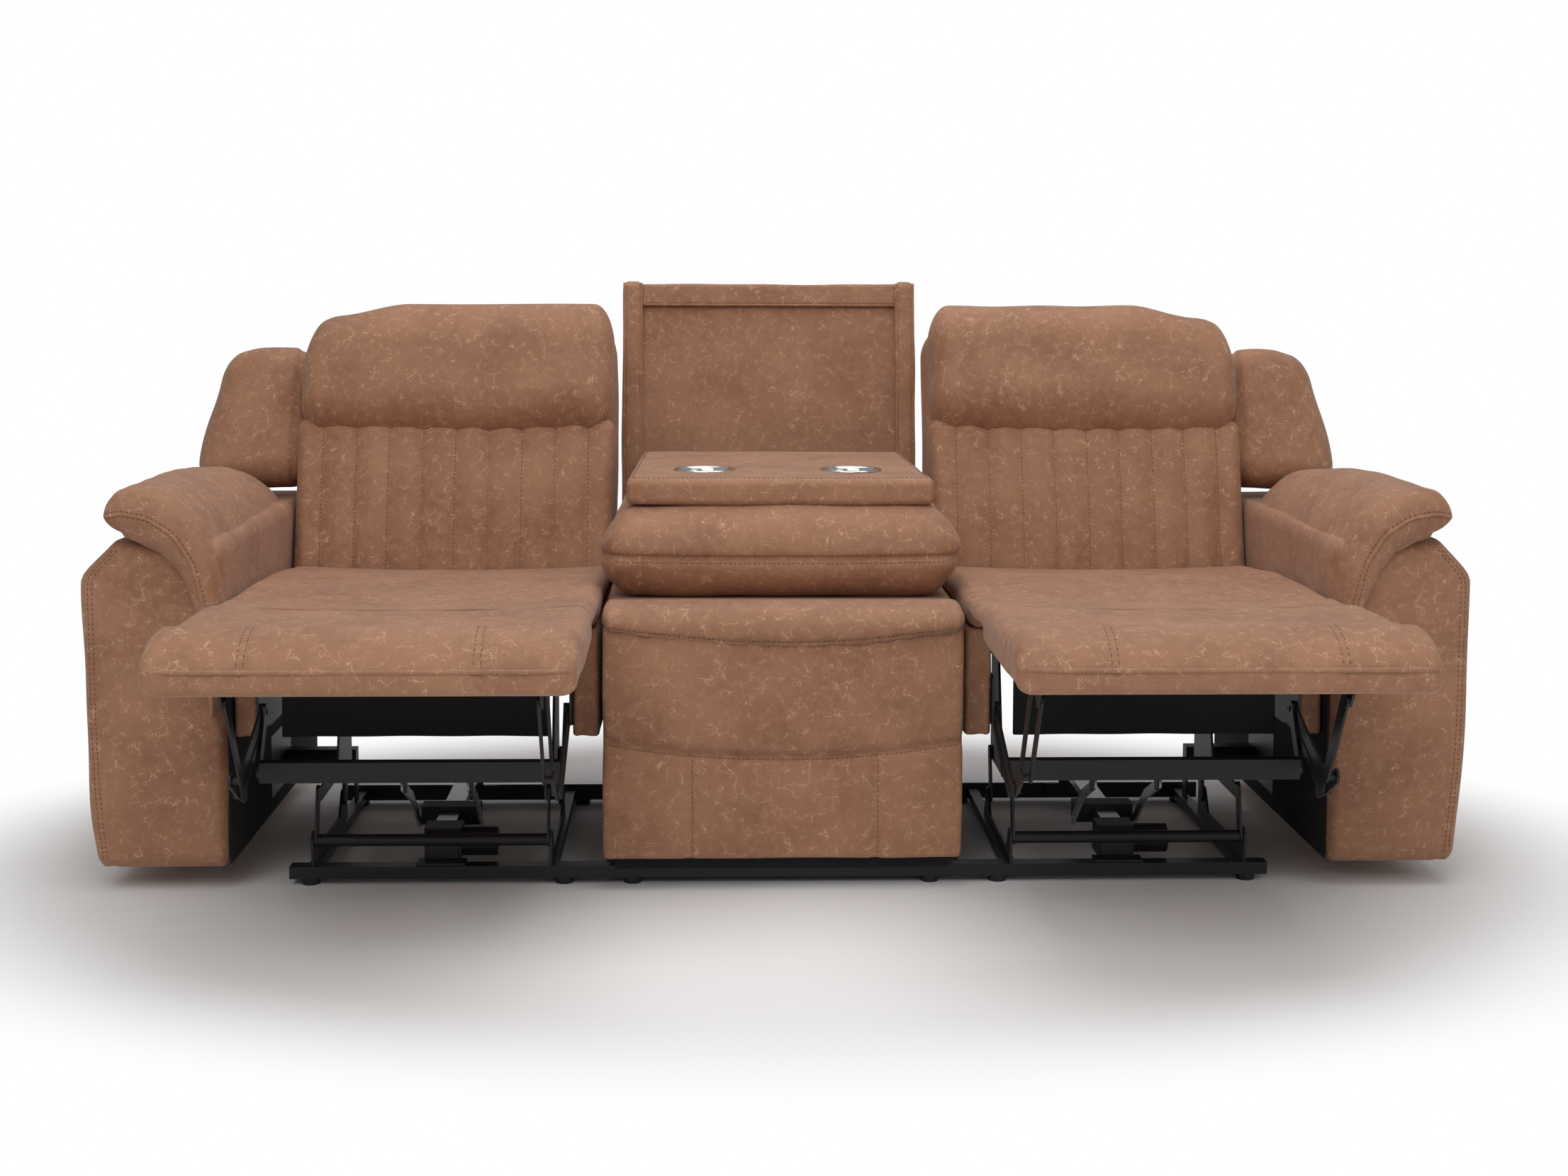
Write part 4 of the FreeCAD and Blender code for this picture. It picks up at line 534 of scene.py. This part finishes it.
def channel_cushion(seed):
    """The lower back: nine upright seams with a soft swell between them, fuller at the waist."""
    points, quads = block((301, 4, -16), (892, 110, 316), (22, 20, 22), 4.6)
    x, v, u = points.T
    tx, tu = (x - 301) / 591, (u + 16) / 332
    front = np.clip((30 - v) / 24, 0, 1)
    points[:, 1] = v - front * (12 * hump(tx, 0.7) * hump(tu * 0.9 + 0.1, 0.8))
    points[:, 2] = u - 9 * hump(tx) * ease((tu - 0.5) * 2)
    nearest = np.min([np.abs(x - seam) for seam in SEAMS], axis=0)
    swell = np.minimum(nearest / 31, 1)
    rise = 9.5 * swell ** 0.5 - 4.5
    rise -= 1.2 * groove(nearest, 7) * np.sin(u / 5.5 + x * 0.7)
    rise = front * (rise * ease((1 - tu) * 14) + uneven(points, seed, 140, 1.6))
    return leaned(puffed(points, quads, rise), BACK_FOOT), quads


def head_pillow(seed):
    """The head roll: full and round, its outer top corner dropped, gathered where it is sewn down."""
    points, quads = block((301, -30, 286), (892, 110, 540), (40, 66, 84), 6.0, 9)
    x, v, u = points.T
    tx, tu = (x - 301) / 591, (u - 286) / 254
    front = np.clip((60 - v) / 60, 0, 1)
    points[:, 2] = u - 10 * hump(tx) * ease(1 - tu * 2) - (24 * ease((x - 690) / 140) + 44 * np.clip((x - 818) / 74, 0, 1) ** 2) * ease(tu * 1.3)
    points[:, 1] = v - 10 * front * hump(tx, 0.5) * hump(tu)
    low = np.exp(-np.abs(tu - 0.14) * 9)
    gathers = np.sin(x / 6.1 + 1.3 * np.sin(x / 17)) * (0.5 + 1.6 * (np.abs(2 * tx - 1) ** 3))
    rise = front * (uneven(points, seed, 170, 3.2) + 1.5 * low * gathers)
    return leaned(puffed(points, quads, rise), BACK_FOOT), quads


def seam_of_pillow(drop):
    x = np.linspace(312, 882, 60)
    return leaned(np.stack([x, np.full(60, -60.0), 308 - drop - 9 * hump((x - 301) / 591)], 1), BACK_FOOT)


# Arms

def arm_outer(z):
    """The arm's outer face: widest at 330 mm, drawn in below it and under the pad."""
    return 1127 - 21 * np.clip(1 - z / 330, 0, 1) ** 1.8 - 46 * ease((z - 505) / 70)


def arm_body(seed):
    points, quads = block((898.5, 20, 38), (1119, 858, 574), (16, 26, 26), 10.0)
    x, y, z = points.T
    wide = (x - 898.5) / 220.5
    points[:, 0] = 898.5 + wide * (arm_outer(z) - 898.5)
    points[:, 1] = y - 9 * (y < 60) * hump(wide) * hump((z - 38) / 536, 0.5)
    front = (y < 50) * 1.0
    rise = uneven(points, seed, 220, 2.6) * ease((z - 38) / 80)
    rise -= 2.5 * front * groove(wide - 0.9, 0.025)
    rise -= 2.5 * groove(y - 70, 5) * (wide > 0.97)
    return puffed(points, quads, rise), quads


PAD_LINE = np.array([
    (1078, 616, 40), (1050, 622, 49), (1008, 614, 50), (968, 588, 44), (938, 540, 33),
    (921, 470, 23), (914, 390, 17), (912, 330, 14), (912, 292, 12),
], float)


def pad_line(s):
    """The pad's middle line from its outer tip over the arm and down the inner side, with its half depth."""
    knots = np.linspace(0, 1, len(PAD_LINE))
    line = np.stack([smooth_line(s, knots, PAD_LINE[:, k]) for k in range(3)], -1)
    slope = np.gradient(np.stack([smooth_line(np.linspace(0, 1, 400), knots, PAD_LINE[:, k]) for k in range(2)], -1), axis=0)
    slope /= np.linalg.norm(slope, axis=1, keepdims=True)
    way = np.stack([np.interp(s, np.linspace(0, 1, 400), slope[:, k]) for k in range(2)], -1)
    return line, np.stack([-way[..., 1], way[..., 0]], -1)


def arm_pad(seed):
    """The arm pad: a fat roll over the arm that thins to a skirt down the inner side.

    Round the section, s runs along the middle line as (1 - cos a) / 2 and the depth as the root
    of sin a; along the arm the depth closes at the front and rear as a quarter round.
    """
    around, along = 132, 96
    angle = np.linspace(0, 2 * np.pi, around, endpoint=False)
    s = (1 - np.cos(angle)) / 2
    depth = np.sign(np.sin(angle)) * np.abs(np.sin(angle)) ** 0.55
    line, normal = pad_line(s)
    nose = 1 - np.cos(np.linspace(0, np.pi / 2, 14))
    y = np.concatenate([-18 + 42 * nose, np.linspace(30, 640, along - 28), 682 - 36 * nose[::-1]])
    close = np.sqrt(np.clip(1 - np.clip(1 - (y + 18) / 42, 0, 1) ** 2, 0.004, 1))
    close *= np.sqrt(np.clip(1 - np.clip(1 - (682 - y) / 36, 0, 1) ** 2, 0.004, 1))
    back = np.clip((y - 300) / 390, 0, 1)[:, None]
    half = line[:, 2] * close[:, None]
    x = line[:, 0] - normal[:, 0] * depth * half
    z = line[:, 1] - normal[:, 1] * depth * half
    z = z - 34 * back ** 1.7 * ease((z - 420) / 160) + 95 * back * ease((430 - z) / 140)
    ring = np.stack([x, np.repeat(y[:, None], around, 1), z], -1)
    count = len(y)
    index = np.arange(count * around).reshape(count, around)
    after = np.roll(index, -1, axis=1)
    quads = np.stack([index[:-1], index[1:], after[1:], after[:-1]], -1).reshape(-1, 4)
    points = ring.reshape(-1, 3)
    volume = np.einsum("ij,ij->i", points[quads[:, 0]], np.cross(points[quads[:, 1]], points[quads[:, 2]])).sum()
    if volume < 0:
        quads = quads[:, ::-1]
    points = puffed(points, quads, uneven(points, seed, 130, 2.0) * (points[:, 2] > 380))
    first, last = index[0].tolist(), index[-1][::-1].tolist()
    if volume > 0:
        first, last = first[::-1], last[::-1]
    return points, quads.tolist() + [first[::-1], last[::-1]]


# Middle seat and console

def crease(x):
    """The sewn crease across the middle front: 248 mm high at its ends, 26 lower in its middle."""
    return 248 - 26 * (1 - (x / 293) ** 2)


def centre_front():
    points, quads = block((-292, 16, 52), (292, 36, 440), (10, 9, 8), 5.5)
    x, y, z = points.T
    front = np.clip((26 - y) / 8, 0, 1)
    over = z > crease(x)
    upper = hump((z - crease(x)) / (436 - crease(x)), 0.5) * over
    lower = hump((z - 52) / (crease(x) - 52), 0.5) * ~over
    rise = front * (13 * upper * hump((x + 292) / 584, 0.25) + 4 * lower - 8 * groove(z - crease(x), 7))
    rise -= front * 4.5 * ~over * (groove(x - 151, 6) + groove(x + 151, 6))
    rise += front * uneven(points, 5, 150, 2.0)
    return puffed(points, quads, rise), quads


def centre_seat():
    """The middle seat's pad: its front roll hangs over the panel, lower in its middle, and is gathered."""
    points, quads = block((-293, -8, 404), (293, 642, 466), (14, 26, 30), 7.0, 7)
    x, y, z = points.T
    tx = (x + 293) / 586
    h = np.clip((z - 404) / 62, 0, 1)
    floor = np.where(y < 40, 26 - 28 * hump(tx), 28.0)
    top = smooth_line(y, [-8, 20, 70, 120, 190, 642], [-8, 2, 6, -2, -8, -8])
    points[:, 2] = z + (1 - h) * floor + h * top
    front = np.clip((30 - y) / 25, 0, 1)
    gathers = np.sin(x / 8 + 1.7 * np.sin(x / 29)) * np.exp(-h * 4)
    rise = front * (1.3 * gathers + uneven(points, 9, 110, 2.2)) - 3 * front * groove(h - 0.16, 0.06)
    return puffed(points, quads, rise), quads


def console_cushion():
    """The folded middle back: a full pillow with a bull nose, pointed where its two covers are sewn."""
    points, quads = block((-289, 130, 460), (289, 632, 615), (44, 78, 76), 7.0, 9)
    x, y, z = points.T
    waist = hump((z - 458) / 160, 1.4)
    points[:, 0] = x * (1 + 0.055 * waist * ease((260 - y) / 120 + 0.4))
    front = np.clip((230 - y) / 90, 0, 1)
    points[:, 2] = z - 9 * front * hump((x + 292) / 584) * ease((560 - z) / 60)
    seam = 534 - 5 * hump((x + 292) / 584)
    rise = uneven(points, 21, 150, 3.0) - 7.5 * groove(z - seam, 5) * front
    ends = np.clip(np.abs(x) / 292 - 0.72, 0, 1) * 3.4
    rise += front * ends * np.sin((z + 0.4 * np.abs(x)) / 7.5) * 1.5
    return puffed(points, quads, rise), quads


def tray():
    """The padded table board: 520 mm wide in front, 496 behind, with a soft square edge."""
    points, quads = block((-260, 183, 616), (260, 762, 659), (9, 13, 13), 6.0)
    t = (points[:, 1] - 183) / 579
    points[:, 0] *= 1 - 0.046 * t
    h = (points[:, 2] - 616) / 43
    points[:, 2] -= 3.5 * hump((points[:, 0] + 260) / 520, 0.4) * (h < 0.4) * (t < 0.1)
    rise = 1.5 * hump(t) * (h > 0.9) * hump((points[:, 0] + 260) / 520) + uneven(points, 33, 160, 0.9)
    return puffed(points, quads, rise), quads


CUPS = ((-128.0, 348.0), (128.0, 348.0))
CUP_PROFILE = [
    (0, 599.5), (20, 599.5), (38, 599.6), (42.5, 601), (44, 605), (44, 630), (44, 653), (44.8, 657.5),
    (47, 660.6), (50, 662.4), (53, 662), (54.4, 660.6), (54.2, 659.4), (50, 659), (46.5, 658.5),
    (45.8, 650), (45.8, 605), (44, 600), (40, 598.2), (20, 598), (0, 598),
]


def pierced(piece, reach):
    """Cuts the two cup wells out of a piece by taking a round plug away from it."""
    for x, y in CUPS:
        plug_mesh = bpy.data.meshes.new("cup_well")
        points, faces = turned([(0, reach[0]), (47.0, reach[0]), (47.0, reach[1]), (0, reach[1])], (x, y), 64)
        plug_mesh.from_pydata(to_frame(points).tolist(), [], faces)
        if sum(face.area for face in plug_mesh.polygons) > 0:
            plug_mesh.validate()
        plug = bpy.data.objects.new("cup_well", plug_mesh)
        bpy.context.scene.collection.objects.link(plug)
        step = piece.modifiers.new("well", "BOOLEAN")
        step.operation = "DIFFERENCE"
        step.solver = "EXACT"
        step.object = plug
        bpy.context.view_layer.update()
        graph = bpy.context.evaluated_depsgraph_get()
        cut = bpy.data.meshes.new_from_object(piece.evaluated_get(graph))
        piece.modifiers.clear()
        piece.data = cut
        bpy.data.objects.remove(plug)


def recess_part(low, high, radii, seed=None):
    points, quads = block(low, high, radii, 8.0)
    if seed is not None:
        points = puffed(points, quads, uneven(points, seed, 140, 1.4))
    return leaned(points, RECESS_FOOT), quads


# Putting the sofa together

for side, sign in SIDES:
    seed = 100 + sign * 7
    pad = footrest_pad(seed)
    make(f"{side}_footrest_cover", flipped(*pad, sign), suede, f"{side}_footrest",
         [f"{side}_footrest_pad"])
    edge = np.stack([np.linspace(312, 881, 80), np.full(80, -556.5), np.full(80, 466.0)], 1)
    edge[:, 1] += 5 * np.abs(np.linspace(-1, 1, 80)) ** 12
    make(f"{side}_footrest_piping", flipped(*tube(edge, 3.6), sign), suede, f"{side}_footrest")
    rows = []
    for x in (431, 441, 751, 761):
        rows.append(stitches(pad, [(x, -600, 600), (x, -440, 600)], (0, 0, -1)))
    for y in (-432, -443):
        rows.append(stitches(pad, [(318, y, 600), (875, y, 600)], (0, 0, -1)))
    make(f"{side}_footrest_thread", flipped(*joined(rows), sign), thread, f"{side}_footrest")

    flap = make(f"{side}_chaise_bridge", flipped(*chaise_flap(seed + 1), sign), suede, f"{side}_seat",
                [f"{side}_chaise_flap"])
    make(f"{side}_seat_cover", flipped(*seat_cushion(seed + 2), sign), suede, f"{side}_seat",
         [f"{side}_seat_cushion"])
    make(f"{side}_seat_box", flipped(*seat_box(seed + 3), sign), suede, f"{side}_seat",
         [f"{side}_seat_frame"])
    make(f"{side}_seat_apron", flipped(*apron(), sign), lining, f"{side}_seat")
    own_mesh(flap)

    make(f"{side}_back_cover", flipped(*back_shell(seed + 4), sign), suede, f"{side}_back",
         [f"{side}_back_frame"])
    make(f"{side}_wing_cover", flipped(*wing(seed + 5), sign), suede, f"{side}_back", ())
    channels = channel_cushion(seed + 6)
    make(f"{side}_channel_cushion", flipped(*channels, sign), suede, f"{side}_back",
         [f"{side}_back_cushions"])
    make(f"{side}_head_pillow", flipped(*head_pillow(seed + 8), sign), suede, f"{side}_back",
         ())
    toward = (0, math.cos(math.radians(16)), -math.sin(math.radians(16)))
    rows = []
    for x in SEAMS:
        ends = leaned(np.array([(x, -60, 2), (x, -60, 296)], float), BACK_FOOT)
        rows.append(stitches(channels, ends, toward))
    for drop in (0, 7):
        rows.append(stitches(channels, seam_of_pillow(drop), toward))
    make(f"{side}_channel_thread", flipped(*joined(rows), sign), thread, f"{side}_back")

    body = arm_body(seed + 9)
    make(f"{side}_arm_cover", flipped(*body, sign), suede, "base", [f"{side}_arm_body"])
    top = arm_pad(seed + 10)
    make(f"{side}_arm_pad_cover", flipped(*top, sign), suede, "base", [f"{side}_arm_pad"])
    line, normal = pad_line(np.linspace(0.02, 0.99, 120))
    rows = []
    for offset in (-5, 3):
        spots = line[:, :2] + normal * offset
        rows.append(stitches(top, np.stack([spots[:, 0], np.full(120, -60.0), spots[:, 1]], 1), (0, 1, 0)))
    height = np.linspace(56, 560, 60)
    for offset in (14, 21):
        rows.append(stitches(body, np.stack([arm_outer(height) - offset, np.full(60, -60.0), height], 1), (0, 1, 0)))
    make(f"{side}_arm_thread", flipped(*joined(rows), sign), thread, "base")
    welt = np.stack([line[:, 0], np.full(120, -18.0), line[:, 1]], 1)
    make(f"{side}_arm_welt", flipped(*tube(welt, 3.2), sign), suede, "base")
    sheet = block((894.8, 34, 44), (898.4, 840, 320), (1, 3, 3), 14.0, 2)
    make(f"{side}_arm_lining", flipped(*sheet, sign), lining, "base")

panel = centre_front()
make("middle_front_cover", panel, suede, "base", ["centre_front_panel"])
roll = centre_seat()
make("middle_seat_cover", roll, suede, "base", ["centre_seat_cushion"])
x = np.linspace(-284, 284, 90)
rows = []
for drop in (0, 8):
    rows.append(stitches(roll, np.stack([x, np.full(90, -80.0), 440 - drop - 28 * (1 - (x / 293) ** 2)], 1), (0, 1, 0)))
for shift in (-151, 151):
    column = np.stack([np.full(30, shift), np.full(30, -80.0), np.linspace(60, crease(151) - 10, 30)], 1)
    rows.append(stitches(panel, column + (4, 0, 0), (0, 1, 0)))
rows.append(stitches(panel, np.stack([x, np.full(90, -80.0), crease(x) - 6], 1), (0, 1, 0)))
make("middle_seat_thread", joined(rows), thread, "base")

pillow = console_cushion()
cushion = make("console_pillow", pillow, suede, "console", ["console_cushion"])
pierced(cushion, (590, 700))
board_shape = tray()
board = make("console_table", board_shape, suede, "console", ["console_tray"])
pierced(board, (590, 700))
make("console_cups", joined([turned(CUP_PROFILE, spot) for spot in CUPS]), chrome, "console",
     ["cup_holders"])
x = np.linspace(-250, 250, 80)
rows = [
    stitches(board_shape, np.stack([x, np.full(80, 200.0), np.full(80, 720.0)], 1), (0, 0, -1)),
    stitches(board_shape, np.stack([x * 0.96, np.full(80, 748.0), np.full(80, 720.0)], 1), (0, 0, -1)),
    stitches(pillow, np.stack([x * 1.1, np.full(80, 60.0), 541 - 5 * hump((x + 292) / 584)], 1), (0, 1, 0)),
    stitches(pillow, np.stack([x * 1.1, np.full(80, 60.0), 527 - 5 * hump((x + 292) / 584)], 1), (0, 1, 0)),
]
for edge in (-1, 1):
    y = np.linspace(200, 748, 70)
    rows.append(stitches(board_shape, np.stack([edge * (250 - (y - 200) * 0.021), y, np.full(70, 720.0)], 1), (0, 0, -1)))
make("console_thread", joined(rows), thread, "console")

recess = [
    recess_part((-288, 2, -330), (288, 24, 520), (3, 6, 6), 41),
    recess_part((-257, -9, 478), (257, 22, 522), (3, 9, 7), 43),
]
for sign in (-1, 1):
    low, high = sorted((sign * 253, sign * 293))
    recess.append(recess_part((low, -18, -40), (high, 23, 527), (13, 15, 16), 47 + sign))
make("recess_cover", joined(recess), suede, "base", ["centre_back_panel"])
cords = []
for sign in (-1, 1):
    u = np.linspace(-36, 522, 90)
    for x, v in ((sign * 256, -13), (sign * 289, -14)):
        cords.append(tube(leaned(np.stack([np.full(90, x), np.full(90, v), u], 1), RECESS_FOOT), 3.0))
x = np.linspace(-254, 254, 60)
cords.append(tube(leaned(np.stack([x, np.full(60, -7.0), np.full(60, 479.0)], 1), RECESS_FOOT), 2.6))
make("recess_piping", joined(cords), suede, "base")


# Floor, light and camera

def floor():
    """A pale floor that turns to plain white away from the sofa, so that its edge doesn't show."""
    material, tree, shader, place = finish("pale_studio_floor")
    shader.inputs["Base Color"].default_value = shade("#F2F2F2")
    shader.inputs["Roughness"].default_value = 0.75
    shader.inputs["Specular IOR Level"].default_value = 0.2
    flat = add(tree, "ShaderNodeVectorMath", {"operation": "LENGTH"}, {0: add(
        tree, "ShaderNodeVectorMath", {"operation": "MULTIPLY"}, {0: place, 1: (0.72, 1.0, 0.0)}).outputs[0]})
    far = add(tree, "ShaderNodeMapRange", {"interpolation_type": "SMOOTHSTEP"}, {
        "Value": flat.outputs["Value"], "From Min": 0.82, "From Max": 1.2})
    rays = add(tree, "ShaderNodeLightPath")
    glow = add(tree, "ShaderNodeEmission", None, {"Color": (1, 1, 1, 1), "Strength": 1.0})
    seen = add(tree, "ShaderNodeMath", {"operation": "MULTIPLY"}, {0: far.outputs[0], 1: rays.outputs["Is Camera Ray"]})
    mixed = add(tree, "ShaderNodeMixShader", None, {"Fac": seen.outputs[0], 1: shader.outputs[0], 2: glow.outputs[0]})
    out = next(node for node in tree.nodes if node.type == "OUTPUT_MATERIAL")
    tree.links.new(mixed.outputs[0], out.inputs["Surface"])
    mesh = bpy.data.meshes.new("studio_floor")
    mesh.from_pydata([(-9, -9, 0), (9, -9, 0), (9, 9, 0), (-9, 9, 0)], [], [(0, 1, 2, 3)])
    mesh.materials.append(material)
    ground = bpy.data.objects.new("studio_floor", mesh)
    bpy.context.scene.collection.objects.link(ground)


def lamp(name, place, aim, size, power):
    """A soft rectangular lamp at place, facing aim."""
    data = bpy.data.lights.new(name, "AREA")
    data.shape = "RECTANGLE"
    data.size, data.size_y = size
    data.energy = power
    item = bpy.data.objects.new(name, data)
    item.location = place
    item.rotation_euler = (Vector(aim) - Vector(place)).to_track_quat("-Z", "Y").to_euler()
    bpy.context.scene.collection.objects.link(item)


def world():
    """A plain pale surround: white to the camera and to transmission rays, softer as light and in reflections."""
    sky = bpy.data.worlds.new("studio")
    sky.use_nodes = True
    tree = sky.node_tree
    tree.nodes.clear()
    rays = add(tree, "ShaderNodeLightPath")
    seen = add(tree, "ShaderNodeMath", {"operation": "MAXIMUM"}, {
        0: rays.outputs["Is Camera Ray"], 1: rays.outputs["Is Transmission Ray"]})
    soft = add(tree, "ShaderNodeBackground", None, {"Color": (1, 1, 1, 1), "Strength": 0.3})
    white = add(tree, "ShaderNodeBackground", None, {"Color": (1, 1, 1, 1), "Strength": 1.0})
    mixed = add(tree, "ShaderNodeMixShader", None, {"Fac": seen.outputs[0], 1: soft.outputs[0], 2: white.outputs[0]})
    add(tree, "ShaderNodeOutputWorld", None, {"Surface": mixed.outputs[0]})
    bpy.context.scene.world = sky


def camera():
    """Stands 3.8 m in front, a metre up, turned 2 degrees right and 5 down, as measured from the feet and arms."""
    yaw, tilt, roll = math.radians(1.979), math.radians(5.0), math.radians(-0.227)
    right = Vector((math.cos(yaw), -math.sin(yaw), 0))
    level = Vector((math.sin(yaw), math.cos(yaw), 0))
    ahead = level * math.cos(tilt) - Vector((0, 0, math.sin(tilt)))
    up = level * math.sin(tilt) + Vector((0, 0, math.cos(tilt)))
    x_way = right * math.cos(roll) - up * math.sin(roll)
    y_way = right * math.sin(roll) + up * math.cos(roll)
    data = bpy.data.cameras.new("photo_camera")
    data.sensor_width = 36.0
    data.lens = 3163.9 / 2212 * 36
    data.shift_y = -176.0 / 2212
    item = bpy.data.objects.new("photo_camera", data)
    turn = Matrix((x_way, y_way, -ahead)).transposed().to_4x4()
    item.matrix_world = Matrix.Translation((-0.12437, -3.7866, 1.01424)) @ turn
    bpy.context.scene.collection.objects.link(item)
    bpy.context.scene.camera = item


floor()
world()
lamp("key_softbox", (-0.9, -3.0, 3.0), (0, 0, 0.4), (3.4, 2.4), 62)
lamp("top_softbox", (0.3, 0.2, 3.3), (0, 0.1, 0.4), (4.0, 2.6), 58)
lamp("fill_softbox", (2.9, -2.2, 1.5), (0, 0, 0.4), (2.0, 2.2), 12)
camera()
bpy.context.scene.view_settings.view_transform = "Standard"
